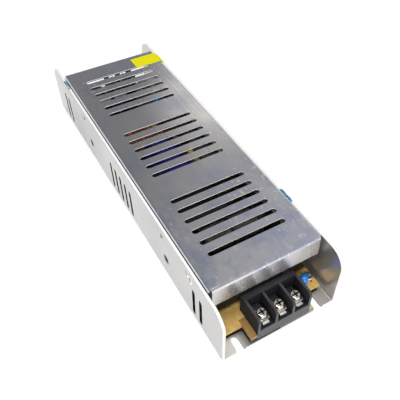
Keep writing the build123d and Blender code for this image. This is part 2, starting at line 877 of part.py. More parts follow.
def disc_part(x, y, radius, thickness, turn):
    """Dipped disc standing on two leads, with the dip drawn down over them."""
    centre = (x, y, board_top + disc_lead_length + radius)
    along = Vector(1, 0, 0).rotate(Axis.Z, turn)
    normal = Vector(0, -1, 0).rotate(Axis.Z, turn)
    middle = Plane(origin=centre, x_dir=along, z_dir=normal)
    lead_spots = [middle.from_local_coords((side * disc_lead_spread * radius, 0, 0)) for side in (-1, 1)]
    with BuildPart() as disc:
        with BuildSketch(middle):
            Circle(radius)
        extrude(amount=thickness / 2, both=True)
        fillet(disc.edges().filter_by(GeomType.CIRCLE), disc_rim_round * thickness)
        with BuildSketch(middle):
            with Locations((0, -dip_drop * radius)):
                Rectangle(dip_width * radius, dip_length * radius)
        extrude(amount=dip_thickness * thickness / 2, both=True)
        with BuildSketch(Plane.XY.offset(board_top)):
            with Locations(*[(spot.X, spot.Y) for spot in lead_spots]):
                Circle(disc_lead_radius)
        extrude(amount=disc_lead_length + disc_lead_overlap * radius)
    return disc


for name, x, y, radius, thickness, turn in (
    ("inrush_thermistor", thermistor_x, thermistor_y, thermistor_radius, thermistor_thickness, 0),
    ("line_disc_capacitor", front_disc_x, front_disc_y, front_disc_radius, front_disc_thickness, front_disc_turn),
    ("bridging_disc_capacitor", rear_disc_x, rear_disc_y, rear_disc_radius, rear_disc_thickness, 0),
):
    keep(disc_part(x, y, radius, thickness, turn), name)


# Bridge rectifier: a flat moulded block with one corner cut, on four legs
with BuildPart() as bridge_rectifier:
    with BuildSketch(Plane.YZ.offset(bridge_x)):
        with Locations((bridge_y, board_top + package_stand + bridge_height / 2)):
            Rectangle(bridge_width, bridge_height)
    extrude(amount=bridge_thickness / 2, both=True)
    cut_corner = bridge_rectifier.edges().filter_by(Axis.X).group_by(Axis.Z)[-1].sort_by(Axis.Y)[0]
    chamfer(cut_corner, bridge_cut)
    with BuildSketch(Plane.XY.offset(board_top)):
        with Locations((bridge_x, bridge_y)):
            with GridLocations(0, bridge_lead_pitch, 1, bridge_leads):
                Rectangle(package_lead_thickness, package_lead_width)
    extrude(amount=package_stand)
keep(bridge_rectifier, "bridge_rectifier")


# Line choke: an upright loop of ferrite whose lower limb lies on the board,
# a two-chamber bobbin on its upper limb with a skirt and comb in front, and the two windings
choke_bore = choke_limb + 2 * seat_gap
choke_tube = choke_bore + 2 * choke_tube_wall
choke_drop = choke_radius + choke_flange_rim + seat_gap
choke_z = board_top + choke_limb + choke_drop
choke_plane = Plane.YZ.offset(choke_x)
chamber = (choke_length - 3 * choke_flange) / 2
with BuildPart() as choke_core:
    with BuildSketch(Plane.XZ.offset(-choke_y)):
        with Locations((choke_x, (board_top + choke_z + choke_limb / 2) / 2)):
            Rectangle(
                choke_length + 2 * seat_gap + 2 * choke_limb,
                choke_z + choke_limb / 2 - board_top,
            )
        with Locations((choke_x, (board_top + choke_limb / 2 + choke_z) / 2)):
            Rectangle(
                choke_length + 2 * seat_gap,
                choke_z - board_top - 3 * choke_limb / 2,
                mode=Mode.SUBTRACT,
            )
    extrude(amount=choke_limb / 2, both=True)
keep(choke_core, "choke_core")

with BuildPart() as choke_bobbin:
    with BuildSketch(choke_plane):
        with Locations((choke_y, choke_z)):
            Rectangle(choke_tube, choke_tube)
    extrude(amount=choke_length / 2, both=True)
    for shift in (-1, 0, 1):
        with BuildSketch(choke_plane.offset(shift * (choke_length - choke_flange) / 2)):
            with Locations((choke_y, choke_z)):
                Circle(choke_radius + choke_flange_rim)
        extrude(amount=choke_flange / 2, both=True)
    with BuildSketch(choke_plane):
        with Locations((choke_y, choke_z)):
            Rectangle(choke_bore, choke_bore)
    extrude(amount=choke_length / 2, both=True, mode=Mode.SUBTRACT)
    skirt_y = choke_y - choke_radius + choke_flange / 3
    with BuildSketch(Plane.XY.offset(board_top)):
        with Locations((choke_x, skirt_y)):
            Rectangle(choke_length, choke_flange)
    extrude(amount=choke_skirt_height)
    with BuildSketch(Plane.XY.offset(board_top)):
        with Locations((choke_x + comb_shift, skirt_y - comb_reach / 2)):
            with GridLocations(comb_pitch, 0, comb_teeth, 1):
                Rectangle(comb_tooth_width, comb_reach)
    extrude(amount=choke_flange)
keep(choke_bobbin, "choke_bobbin")

with BuildPart() as choke_windings:
    for side in (-1, 1):
        with BuildSketch(choke_plane.offset(side * (choke_flange / 2 + seat_gap))):
            with Locations((choke_y, choke_z)):
                Circle(choke_radius)
                Rectangle(choke_tube + 2 * seat_gap, choke_tube + 2 * seat_gap, mode=Mode.SUBTRACT)
        extrude(amount=side * (chamber - 2 * seat_gap))
keep(choke_windings, "choke_windings")


# Potted filter choke: a moulded cup filled to just under its rim
with BuildPart() as potted_choke:
    with BuildSketch(Plane.XY.offset(board_top)):
        with Locations((potted_x, potted_y)):
            RectangleRounded(potted_width, potted_length, potted_corner)
    extrude(amount=potted_height)
    with BuildSketch(Plane.XY.offset(board_top + potted_height)):
        with Locations((potted_x, potted_y)):
            Rectangle(potted_width - 2 * cup_wall, potted_length - 2 * cup_wall)
    extrude(amount=-cup_wall, mode=Mode.SUBTRACT)
keep(potted_choke, "potted_choke")


# Bulk capacitor, lying along the case, with a rolled groove near its sealed end
with BuildPart() as bulk_capacitor:
    bulk_axis = Axis((bulk_x, bulk_y, board_top + bulk_radius + seat_gap), (0, 1, 0))
    bulk_side = Plane(origin=bulk_axis.position, x_dir=(1, 0, 0), z_dir=(0, 0, 1))
    with BuildSketch(bulk_side):
        with Locations((bulk_radius / 2, 0)):
            Rectangle(bulk_radius, bulk_length)
        with Locations((bulk_radius, bulk_length / 2 - bulk_groove_inset)):
            Circle(bulk_groove_radius, mode=Mode.SUBTRACT)
    revolve(axis=bulk_axis)
    fillet(bulk_capacitor.edges().group_by(Axis.Y)[0], bulk_groove_radius)
    fillet(bulk_capacitor.edges().group_by(Axis.Y)[-1], bulk_groove_radius)
keep(bulk_capacitor, "bulk_capacitor")


# Transformer: core with two windows, bobbin on the middle limb, and the winding
transformer_z = board_top + transformer_height / 2
window_height = (transformer_height - transformer_middle_limb) / 2 - transformer_yoke
window_length = transformer_length - 2 * transformer_end_limb
cross_plane = Plane.XZ.offset(-transformer_y)
with BuildPart() as transformer_core:
    with BuildSketch(Plane.YZ.offset(transformer_x)):
        with Locations((transformer_y, transformer_z)):
            Rectangle(transformer_length, transformer_height)
            with GridLocations(0, transformer_middle_limb + window_height, 1, 2):
                Rectangle(window_length, window_height, mode=Mode.SUBTRACT)
    extrude(amount=core_depth / 2, both=True)
keep(transformer_core, "transformer_core")

bore_width = core_depth + 2 * seat_gap
bore_height = transformer_middle_limb + 2 * seat_gap
flange_height = transformer_middle_limb + 2 * window_height - 2 * seat_gap
bobbin_half = window_length / 2 - seat_gap
with BuildPart() as transformer_bobbin:
    with BuildSketch(cross_plane):
        with Locations((transformer_x, transformer_z)):
            Rectangle(bore_width + 2 * bobbin_wall, bore_height + 2 * bobbin_wall)
    extrude(amount=bobbin_half, both=True)
    for end in (-1, 1):
        with BuildSketch(cross_plane.offset(end * (bobbin_half - bobbin_flange))):
            with Locations((transformer_x, transformer_z)):
                Rectangle(transformer_width, flange_height)
        extrude(amount=end * bobbin_flange)
    with BuildSketch(cross_plane):
        with Locations((transformer_x, transformer_z)):
            Rectangle(bore_width, bore_height)
    extrude(amount=bobbin_half, both=True, mode=Mode.SUBTRACT)
keep(transformer_bobbin, "transformer_bobbin")

with BuildPart() as transformer_winding:
    with BuildSketch(cross_plane):
        with Locations((transformer_x, transformer_z)):
            RectangleRounded(
                transformer_width - 2 * seat_gap,
                flange_height - 2 * seat_gap,
                winding_corner,
            )
            Rectangle(
                bore_width + 2 * bobbin_wall + 2 * seat_gap,
                bore_height + 2 * bobbin_wall + 2 * seat_gap,
                mode=Mode.SUBTRACT,
            )
    extrude(amount=bobbin_half - bobbin_flange - seat_gap, both=True)
keep(transformer_winding, "transformer_winding")


# Output inductor: a powder ring lying flat, with its winding left open at one side
ring_z = board_top + ring_height / 2
ring_axis = Axis((ring_x, ring_y, ring_z), (0, 0, 1))
ring_side = Plane(origin=ring_axis.position, x_dir=(1, 0, 0), z_dir=(0, -1, 0))
core_half = ring_height / 2 - ring_wire
with BuildPart() as inductor_core:
    with BuildSketch(ring_side):
        with Locations(((ring_outer + ring_inner) / 2, 0)):
            RectangleRounded(ring_outer - ring_inner, 2 * core_half, ring_round)
    revolve(axis=ring_axis)
keep(inductor_core, "inductor_core")

with BuildPart() as inductor_winding:
    with BuildSketch(ring_side):
        with Locations(((ring_outer + ring_inner) / 2, 0)):
            RectangleRounded(
                ring_outer - ring_inner + 2 * ring_wire,
                ring_height,
                ring_wire,
            )
            RectangleRounded(
                ring_outer - ring_inner + 2 * seat_gap,
                2 * core_half + 2 * seat_gap,
                ring_round,
                mode=Mode.SUBTRACT,
            )
    revolve(axis=ring_axis, revolution_arc=ring_wound_angle)
keep(inductor_winding, "inductor_winding")


def upright_cans(places, radius, height):
    """Can capacitors standing on the board, each with a scored top and a rolled groove at its foot."""
    with BuildPart() as cans:
        for x, y in places:
            foot = (x, y, board_top)
            with BuildSketch(Plane(origin=foot, x_dir=(1, 0, 0), z_dir=(0, -1, 0))):
                with Locations((radius / 2, height / 2)):
                    Rectangle(radius, height)
                with Locations((radius, can_groove_height)):
                    Circle(can_groove_radius, mode=Mode.SUBTRACT)
            revolve(axis=Axis(foot, (0, 0, 1)))
        fillet(cans.edges().group_by(Axis.Z)[-1], can_groove_radius)
        with BuildSketch(Plane.XY.offset(board_top + height)):
            with Locations(*places):
                Rectangle(radius, can_score_width)
                Rectangle(can_score_width, radius)
        extrude(amount=-can_score_depth, mode=Mode.SUBTRACT)
    return cans


can_places = [
    (can_x, can_y),
    (can_x + can_pitch, can_y),
    (can_x + 2 * can_pitch, can_y),
    (can_x, can_y - can_pitch),
    (can_x + can_pitch, can_y - can_pitch),
]
for number, place in enumerate(can_places, start=1):
    keep(upright_cans([place], can_radius, can_height), f"output_capacitor_{number}")
keep(upright_cans(small_can_places, small_can_radius, small_can_height), "small_capacitors")


# Status lamp: a domed lens on a rim
with BuildPart() as status_lamp:
    lamp_side = Plane(origin=(lamp_x, lamp_y, board_top), x_dir=(1, 0, 0), z_dir=(0, -1, 0))
    with BuildSketch(lamp_side):
        with BuildLine():
            shoulder = lamp_height - lamp_radius
            Line((0, 0), (lamp_radius + lamp_rim, 0))
            Line((lamp_radius + lamp_rim, 0), (lamp_radius + lamp_rim, 2 * lamp_rim))
            Line((lamp_radius + lamp_rim, 2 * lamp_rim), (lamp_radius, 2 * lamp_rim))
            Line((lamp_radius, 2 * lamp_rim), (lamp_radius, shoulder))
            RadiusArc((lamp_radius, shoulder), (0, lamp_height), -lamp_radius)
            Line((0, lamp_height), (0, 0))
        make_face()
    revolve(axis=Axis((lamp_x, lamp_y, board_top), (0, 0, 1)))
keep(status_lamp, "status_lamp")


# Output trimmer: a square body with a well, and the slotted rotor in it
rotor_base = board_top + trimmer_height - rotor_height + rotor_stand
with BuildPart() as trimmer_body:
    with BuildSketch(Plane.XY.offset(board_top)):
        with Locations((trimmer_x, trimmer_y)):
            RectangleRounded(trimmer_width, trimmer_width, trimmer_corner)
    extrude(amount=trimmer_height)
    with BuildSketch(Plane.XY.offset(rotor_base - seat_gap)):
        with Locations((trimmer_x, trimmer_y)):
            Circle(rotor_radius + running_gap)
    extrude(amount=trimmer_height, mode=Mode.SUBTRACT)
keep(trimmer_body, "trimmer_body")

with BuildPart() as trimmer_rotor:
    with BuildSketch(Plane.XY.offset(rotor_base)):
        with Locations((trimmer_x, trimmer_y)):
            Circle(rotor_radius)
    extrude(amount=rotor_height)
    with BuildSketch(Plane.XY.offset(rotor_base + rotor_height)):
        with Locations((trimmer_x, trimmer_y)):
            Rectangle(rotor_slot_length, rotor_slot_width)
            Rectangle(rotor_slot_width, rotor_slot_length)
    extrude(amount=-rotor_slot_depth, mode=Mode.SUBTRACT)
keep(trimmer_rotor, "trimmer_rotor")


def moulded_block(x, y, length, pins):
    """Moulded package with sloping sides and a row of legs along each side."""
    with BuildPart() as block:
        with BuildSketch(Plane.XY.offset(board_top + package_stand)):
            with Locations((x, y)):
                Rectangle(moulded_width, length)
        extrude(amount=moulded_height, taper=moulded_taper)
        with BuildSketch(Plane.XY.offset(board_top)):
            with Locations((x, y)):
                with GridLocations(moulded_width - package_lead_width, package_lead_pitch, 2, pins):
                    Rectangle(package_lead_width, package_lead_thickness)
        extrude(amount=package_stand)
    return block


keep(moulded_block(chip_x, chip_y, chip_length, chip_pins), "control_chip")
keep(moulded_block(coupler_x, coupler_y, coupler_length, coupler_pins), "optocoupler")


# Power resistors lying on the board, each with a waist and two leads bent down
resistor_z = board_top + resistor_radius + running_gap
lead_span = resistor_length + 2 * resistor_lead_reach
with BuildPart() as resistors:
    for x, y in resistor_places:
        middle = (x, y, resistor_z)
        with BuildSketch(Plane(origin=middle, x_dir=(1, 0, 0), z_dir=(0, 0, 1))):
            with Locations((resistor_radius / 2, 0)):
                Rectangle(resistor_radius, resistor_length)
            with Locations((resistor_waist_radius + resistor_radius / 2, 0)):
                Rectangle(resistor_radius, resistor_waist_length, mode=Mode.SUBTRACT)
        revolve(axis=Axis(middle, (0, 1, 0)))
        with BuildSketch(Plane.YZ.offset(x)):
            with Locations((y, resistor_z)):
                Rectangle(lead_span, resistor_lead_width)
            with Locations((y, (board_top + resistor_z) / 2)):
                with GridLocations(lead_span - resistor_lead_width, 0, 2, 1):
                    Rectangle(resistor_lead_width, resistor_z - board_top)
        extrude(amount=resistor_lead_width / 2, both=True)
keep(resistors, "resistors")


# Sticker over the cover's rear right corner, bridging the gap on to the wall's edge
with BuildPart() as yellow_sticker:
    with BuildSketch(Plane.XZ.offset(-sticker_y)):
        with BuildLine():
            Polyline(
                (sticker_x, cover_top),
                (cover_half - open_gap, cover_top),
                (inner_half + 2 * open_gap, wall_height),
                (case_width / 2, wall_height),
                (case_width / 2, wall_height + sticker_thickness),
                (inner_half + 2 * open_gap + sticker_thickness, wall_height + sticker_thickness),
                (cover_half - open_gap + sticker_thickness, cover_top + sticker_thickness),
                (sticker_x, cover_top + sticker_thickness),
                close=True,
            )
        make_face()
    extrude(amount=sticker_length / 2, both=True)
keep(yellow_sticker, "yellow_sticker")


# Scraps of protective film left on the wall tops and the cover's rear corner
with BuildPart() as film_scraps:
    for x, y, level, width, length in film_places:
        with BuildSketch(Plane.XY.offset(level)):
            with Locations((x, y)):
                Rectangle(width, length)
        extrude(amount=film_thickness)
keep(film_scraps, "film_scraps")
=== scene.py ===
"""Looks of a slim switching power supply: sheet metal case, slotted cover, board and screw terminals.

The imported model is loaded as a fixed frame. Each class below holds one sub-assembly, dresses the
nodes that it owns and adds the pieces that need finer surfaces than the solids have.
Lengths are metres unless a name or a note says mm. +Y runs along the case to the output end and
+Z is up. A span gives the value at which a mask is 0 and the value at which it is 1.
"""

import logging
import math
from dataclasses import dataclass, replace
from enum import Enum
from typing import Optional, Union

import bpy
import numpy as np
from mathutils import Matrix, Vector


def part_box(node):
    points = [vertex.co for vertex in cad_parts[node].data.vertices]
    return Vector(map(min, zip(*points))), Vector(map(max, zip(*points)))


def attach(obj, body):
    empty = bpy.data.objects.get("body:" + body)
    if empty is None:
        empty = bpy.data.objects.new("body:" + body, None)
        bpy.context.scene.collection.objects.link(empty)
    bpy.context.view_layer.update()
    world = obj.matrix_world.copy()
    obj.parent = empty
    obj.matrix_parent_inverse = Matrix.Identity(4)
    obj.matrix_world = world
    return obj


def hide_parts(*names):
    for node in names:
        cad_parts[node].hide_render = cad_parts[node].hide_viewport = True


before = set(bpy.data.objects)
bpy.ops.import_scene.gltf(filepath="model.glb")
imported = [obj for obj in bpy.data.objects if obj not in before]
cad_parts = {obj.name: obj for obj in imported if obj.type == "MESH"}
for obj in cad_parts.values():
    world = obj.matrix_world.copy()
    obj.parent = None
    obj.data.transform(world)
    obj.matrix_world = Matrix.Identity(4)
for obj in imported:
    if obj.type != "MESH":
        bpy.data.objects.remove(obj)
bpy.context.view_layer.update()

MM = 0.001
TAU = 2 * math.pi
CHASSIS = "chassis"
NOISE_MEAN = 0.5
CORNER_STEPS = 12
log = logging.getLogger("power_supply")

Colour = tuple[float, float, float]
Place = tuple[float, float, float]
Pair = tuple[float, float]
Span = Pair
Feed = Union[float, Colour, "Signal"]
Options = Optional[dict]

BLACK: Colour = (0.0, 0.0, 0.0)
WHITE: Colour = (1.0, 1.0, 1.0)


class Axis(Enum):
    """One of the three axes of a piece's own coordinates."""

    X = "X"
    Y = "Y"
    Z = "Z"


class Grain(Enum):
    """How a pattern is drawn out, as a factor on the coordinates along X, Y and Z."""

    EVEN = (1.0, 1.0, 1.0)
    ROLLED = (900.0, 12.0, 900.0)
    SCUFFED = (420.0, 240.0, 300.0)
    PLATED = (2600.0, 400.0, 2600.0)
    FIBROUS = (420.0, 200.0, 420.0)


class Signal:
    """One output socket. Arithmetic on it adds Math nodes, so shader maths reads as Python."""

    def __init__(self, graph: "Graph", socket: bpy.types.NodeSocket) -> None:
        """Keeps the socket and the graph it belongs to."""
        self.graph = graph
        self.socket = socket

    def _math(self, operation: str, first: Feed, second: Feed = 0.0) -> "Signal":
        """Adds one Math node on two values."""
        return self.graph.node("ShaderNodeMath", {"operation": operation}, {0: first, 1: second})

    def __add__(self, other: Feed) -> "Signal":
        """Sum."""
        return self._math("ADD", self, other)

    def __radd__(self, other: Feed) -> "Signal":
        """Sum with a number in front."""
        return self._math("ADD", other, self)

    def __sub__(self, other: Feed) -> "Signal":
        """Difference."""
        return self._math("SUBTRACT", self, other)

    def __rsub__(self, other: Feed) -> "Signal":
        """A number less this value."""
        return self._math("SUBTRACT", other, self)

    def __mul__(self, other: Feed) -> "Signal":
        """Product."""
        return self._math("MULTIPLY", self, other)

    def __rmul__(self, other: Feed) -> "Signal":
        """Product with a number in front."""
        return self._math("MULTIPLY", other, self)

    def __gt__(self, other: Feed) -> "Signal":
        """1 where this value is larger, else 0."""
        return self._math("GREATER_THAN", self, other)

    def __lt__(self, other: Feed) -> "Signal":
        """1 where this value is smaller, else 0."""
        return self._math("LESS_THAN", self, other)

    def __abs__(self) -> "Signal":
        """Absolute value."""
        return self._math("ABSOLUTE", self)

    def either(self, other: Feed) -> "Signal":
        """The larger of two values."""
        return self._math("MAXIMUM", self, other)

    def wave(self) -> "Signal":
        """Sine of this value in radians."""
        return self._math("SINE", self)

    def nearest(self) -> "Signal":
        """The nearest whole number."""
        return self._math("ROUND", self)

    def swing(self, weight: float) -> "Signal":
        """Noise moved so that it runs about nought, times a weight."""
        return (self - NOISE_MEAN) * weight


class Graph:
    """The node tree of one material or world."""

    def __init__(self, owner: Union[bpy.types.Material, bpy.types.World]) -> None:
        """Takes over the tree of a new material or world.

        Args:
            owner: what the tree belongs to; its nodes are cleared.
        """
        self.owner = owner
        owner.use_nodes = True
        self.tree = owner.node_tree
        self.tree.nodes.clear()

    def add(self, kind: str, settings: Options = None, inputs: Options = None) -> bpy.types.Node:
        """Adds any node; no node is made anywhere else.

        Args:
            kind: Blender's type name of the node.
            settings: properties of the node, which are set first.
            inputs: socket name or index to a number, a colour or a Signal.

        Returns:
            The node.
        """
        made = self.tree.nodes.new(kind)
        for key, value in (settings or {}).items():
            setattr(made, key, value)
        for key, value in (inputs or {}).items():
            self.feed(made.inputs[key], value)
        return made

    def node(
        self, kind: str, settings: Options = None, inputs: Options = None, output: Union[int, str] = 0
    ) -> Signal:
        """Adds a node, as add does, and takes the output of that name or index."""
        return Signal(self, self.add(kind, settings, inputs).outputs[output])

    def feed(self, socket: bpy.types.NodeSocket, value: Feed) -> None:
        """Links a Signal to a socket, or sets the socket's own value.

        Args:
            socket: the input to fill.
            value: a Signal, a number, or three numbers for a colour or a vector.
        """
        if isinstance(value, Signal):
            self.tree.links.new(value.socket, socket)
        elif socket.type == "RGBA":
            socket.default_value = (*value, 1.0)
        else:
            socket.default_value = value

    def place(self, grain: Grain) -> Signal:
        """Object coordinates, stretched along each axis."""
        where = self.node("ShaderNodeTexCoord", output="Object")
        return self.node("ShaderNodeMapping", {"vector_type": "POINT"}, {"Vector": where, "Scale": grain.value})

    def axis(self, axis: Axis) -> Signal:
        """One Object coordinate, in metres."""
        where = self.node("ShaderNodeTexCoord", output="Object")
        return self.node("ShaderNodeSeparateXYZ", inputs={0: where}, output=axis.value)

    def noise(self, scale: float, detail: float, grain: Grain = Grain.EVEN) -> Signal:
        """Smooth random value around one half, with features of about 1 / (scale * grain) metres."""
        inputs = {"Vector": self.place(grain), "Scale": scale, "Detail": detail}
        return self.node("ShaderNodeTexNoise", inputs=inputs)

    def cells(self, scale: float) -> Signal:
        """Distance to the nearest of many scattered points, about 1 / scale metres apart."""
        inputs = {"Vector": self.place(Grain.EVEN), "Scale": scale}
        return self.node("ShaderNodeTexVoronoi", {"feature": "F1"}, inputs)

    def band(self, value: Signal, low: float, high: float) -> Signal:
        """Straight rise from 0 at low to 1 at high, level beyond them; low may be the larger one."""
        inputs = {"Value": value, "From Min": low, "From Max": high}
        return self.node("ShaderNodeMapRange", {"clamp": True}, inputs)

    def blend(self, factor: Feed, first: Union[Colour, Signal], second: Union[Colour, Signal]) -> Signal:
        """Colour that runs from first at 0 to second at 1."""
        return self.node("ShaderNodeMix", {"data_type": "RGBA"}, {0: factor, 6: first, 7: second}, output=2)

    def bump(self, height: Signal, depth: float, strength: float) -> Signal:
        """Normal of a surface whose height varies by depth metres."""
        return self.node("ShaderNodeBump", inputs={"Height": height, "Distance": depth, "Strength": strength})

    def seen(self) -> Signal:
        """Mask of the rays that see the stage in full light.

        Returns:
            1 for the camera, for polished surfaces and for glass, else 0.
        """
        names = ("Is Camera Ray", "Is Glossy Ray", "Is Transmission Ray")
        camera, glossy, through = [self.node("ShaderNodeLightPath", output=name) for name in names]
        return camera.either(glossy).either(through)

    def surface(self, **inputs: Feed) -> bpy.types.Material:
        """Closes a material's tree with a Principled shader.

        Args:
            inputs: socket names in lower case with underscores, and what feeds them.

        Returns:
            The finished material.
        """
        shader = self.add("ShaderNodeBsdfPrincipled")
        sockets = {socket.name.lower().replace(" ", "_"): socket for socket in shader.inputs}
        for name, value in inputs.items():
            self.feed(sockets[name], value)
        self.add("ShaderNodeOutputMaterial", inputs={"Surface": Signal(self, shader.outputs[0])})
        return self.owner


def between(value: Signal, low: float, high: float) -> Signal:
    """Mask of where a value lies between two others: 1 there, else 0."""
    return (value > low) * (value < high)


def apart(first: Signal, second: Signal, centre: Pair) -> Signal:
    """Square of the distance from a centre, in the plane of two coordinates."""
    off_1, off_2 = first - centre[0], second - centre[1]
    return off_1 * off_1 + off_2 * off_2


@dataclass(frozen=True)
class RolledSheet:
    """Aluminium sheet: faint rolling lines, clouded patches, scattered nicks and soft stains.

    Its sheared edges, where the sheet's thickness shows, are pale and matt, partly as cut metal and partly as a
    painted highlight, and it is worn most towards the input end. Painted shade darkens it where a subclass
    asks.
    """

    name: str
    colour: Colour
    stain: Colour
    roughness: float = 0.3
    clouding: float = 0.12
    nicks: float = 0.5
    scuffs: float = 0.3
    edge_highlight_colour: Colour = (0.95, 0.94, 0.93)
    dull_colour: Colour = (0.68, 0.65, 0.61)
    nick_colour: Colour = (0.95, 0.95, 0.95)
    cloud_scale: float = 38.0
    patch_scale: float = 14.0
    wear_scale: float = 26.0
    nick_scale: float = 420.0
    mottle_scale: float = 120.0
    handled: Span = (-10.0 * MM, -70.0 * MM)
    stain_span: Span = (0.62, 0.9)
    wear_span: Span = (0.5, 0.64)
    nick_span: Span = (0.16, 0.08)
    scuff_span: Span = (0.58, 0.72)
    mottle_span: Span = (0.46, 0.66)
    handled_wear: float = 0.1
    patch_share: float = 0.5
    stain_weight: float = 0.6
    dull_tint: float = 2.0
    dull_metal: float = 0.45
    dull_rough: float = 0.25
    nick_rough: float = 0.2
    line_rough: float = 0.12
    cloud_rough: float = 2.0
    line_relief: float = 0.35
    relief: float = 0.02 * MM
    relief_gain: float = 3.0

    def sheared_highlight(self, g: Graph) -> Feed:
        """Mask of the sheared edges, pale partly as cut metal and partly as a painted highlight; a bar has
        none.
        """
        return 0.0

    def dulled(self, g: Graph) -> Feed:
        """Mask of the faces that never get polished; a bar has none."""
        return 0.0

    def painted_shade(self, g: Graph) -> Feed:
        """Painted shade: how much darker than its own colour the sheet is, up to 1 for black; a bar is even."""
        return 0.0

    def material(self) -> bpy.types.Material:
        """Builds the material from lines, clouds and wear, then lays the three masks over it.

        Returns:
            The finished material.
        """
        g = Graph(bpy.data.materials.new(self.name))
        lines = g.noise(1.0, 2.0, Grain.ROLLED)
        clouds = g.noise(self.cloud_scale, 5.0)
        patches = g.noise(self.patch_scale, 2.0)
        handled = g.band(g.axis(Axis.Y), *self.handled)
        worn = g.band(g.noise(self.wear_scale, 2.0) + handled * self.handled_wear, *self.wear_span)
        nick = g.band(g.cells(self.nick_scale), *self.nick_span) * worn * self.nicks
        scuff = g.band(g.noise(1.0, 5.0, Grain.SCUFFED), *self.scuff_span) * worn * self.scuffs
        mottle = g.band(g.noise(self.mottle_scale, 6.0), *self.mottle_span) * handled * self.scuffs
        clouded = g.band(clouds + patches * self.patch_share, *self.stain_span) * self.stain_weight
        tone = g.blend(mottle, g.blend(clouded, self.colour, self.stain), self.stain)
        tone = g.blend(nick.either(scuff), tone, self.nick_colour)
        # The pale sheared edges are partly cut metal and partly a painted highlight.
        cut_highlight, dull = self.sheared_highlight(g), self.dulled(g)
        tone = g.blend(dull * self.dull_tint, tone, self.dull_colour)
        # Painted shade: the colour runs towards black as far as the subclass's shade mask asks.
        tone = g.blend(self.painted_shade(g), tone, BLACK)
        rough = clouds.swing(self.clouding * self.cloud_rough) + lines.swing(self.line_rough) + self.roughness
        height = lines * self.line_relief + clouds * (1.0 - self.line_relief) - nick
        return g.surface(
            base_color=g.blend(cut_highlight, tone, self.edge_highlight_colour),
            metallic=1.0 - (cut_highlight + dull * self.dull_metal),
            roughness=rough + nick * self.nick_rough + (cut_highlight + dull) * self.dull_rough,
            normal=g.bump(height, self.relief, self.clouding * self.relief_gain),
        )


@dataclass(frozen=True)
class ChannelSheet(RolledSheet):
    """Sheet of the folded channel, pale along its wall tops and its open ends, partly as cut metal and partly
    as a painted highlight, with painted shade on its outer faces, inside its slots, holes and notches, and on
    parts of its floor.

    Each of its pressed marks gets a ring of painted shade on the left wall: its place along Y and Z and its
    radius, all in mm.
    """

    half_width: float = 32.5 * MM
    half_length: float = 110.0 * MM
    sheet: float = 1.5 * MM
    bend: float = 2.2 * MM
    skin: float = 0.08 * MM
    pierced_top: float = 32.0 * MM
    pierced_end: float = 99.0 * MM
    marks: tuple = ((-55.2, 14.3, 2.9), (46.6, 14.3, 2.6), (-77.5, 30.2, 1.1), (58.2, 26.3, 0.9))
    mark_ring: Pair = (0.3, 1.0)
    rear_middle: float = 65.0 * MM
    rear_span: Span = (45.0 * MM, 10.0 * MM)
    right_span: Span = (10.0 * MM, 24.0 * MM)
    left_span: Span = (-22.5 * MM, -18.0 * MM)
    wall_dull: float = 0.4
    outer_shade: float = 0.28
    mark_shade: float = 0.55
    rear_shade: float = 0.16
    pierced_shade: float = 0.85
    notch_shade: float = 0.5
    right_shade: float = 0.35
    left_shade: float = 0.6

    def within_wall(self, x: Signal) -> Signal:
        """Mask of the inside of the walls' thickness, from the distance to the middle."""
        return between(x, self.half_width - self.sheet + self.skin, self.half_width - self.skin)

    def sheared_highlight(self, g: Graph) -> Feed:
        """Mask of the channel's sheared edges, pale partly as cut metal and partly as a painted highlight.

        Args:
            g: the graph of the material.

        Returns:
            1 inside the thickness of the walls' tops and ends, or on the end faces.
        """
        x, y, z = abs(g.axis(Axis.X)), abs(g.axis(Axis.Y)), g.axis(Axis.Z)
        outline = (z > self.pierced_top).either(y > self.pierced_end)
        return (self.within_wall(x) * (z > self.bend) * outline).either(y > self.half_length - self.skin)

    def dulled(self, g: Graph) -> Feed:
        """Mask of the channel's inside.

        Args:
            g: the graph of the material.

        Returns:
            1 on the floor's upper face, wall_dull on the walls' inner faces, else 0.
        """
        x, z = abs(g.axis(Axis.X)), g.axis(Axis.Z)
        inside = (x < self.half_width - self.sheet + self.skin) * (z > self.sheet - self.skin)
        return inside * (self.wall_dull + (1.0 - self.wall_dull) * (z < self.sheet + self.skin))

    def marked(self, y: Signal, z: Signal) -> Feed:
        """Mask of rings of painted shade round the pressed marks, by the square of the distance over that of
        the radius.

        Args:
            y: the coordinate along the wall.
            z: the coordinate up the wall.

        Returns:
            1 on a ring, else 0.
        """
        marks = 0.0
        for place_y, place_z, radius in self.marks:
            reach = apart(y, z, (place_y * MM, place_z * MM)) * (1.0 / (radius * MM) ** 2)
            marks = between(reach, *self.mark_ring) + marks
        return marks

    def painted_shade(self, g: Graph) -> Feed:
        """Painted shade on the outer faces with rings round their marks, inside the openings and notches, and
        on the floor.

        Args:
            g: the graph of the material.

        Returns:
            outer_shade and more on an outer face, pierced_shade inside the slots and holes,
            notch_shade in the notches, up to right_shade on the floor towards the right wall and
            left_shade on its front half left of the middle, else 0.
        """
        x, y, z = g.axis(Axis.X), g.axis(Axis.Y), g.axis(Axis.Z)
        outer = abs(x) > self.half_width - self.skin
        holes = between(z, self.bend, self.pierced_top) * (abs(y) < self.pierced_end)
        pierced = self.within_wall(abs(x)) * holes
        flat = abs(x) < self.half_width - self.bend
        notch = between(z, self.skin, self.sheet - self.skin) * flat
        left = g.band(x, *self.left_span) * (x < 0.0) * (y < 0.0)
        floor = g.band(x, *self.right_span) * self.right_shade + left * self.left_shade
        floor = floor * between(z, self.sheet - self.skin, self.sheet + self.skin) * flat
        rear = g.band(abs(y - self.rear_middle), *self.rear_span)
        marks = self.marked(y, z) * (x < 0.0)
        faces = outer * (self.outer_shade + self.mark_shade * marks + rear * self.rear_shade)
        return faces.either(pierced * self.pierced_shade).either(notch * self.notch_shade).either(floor)


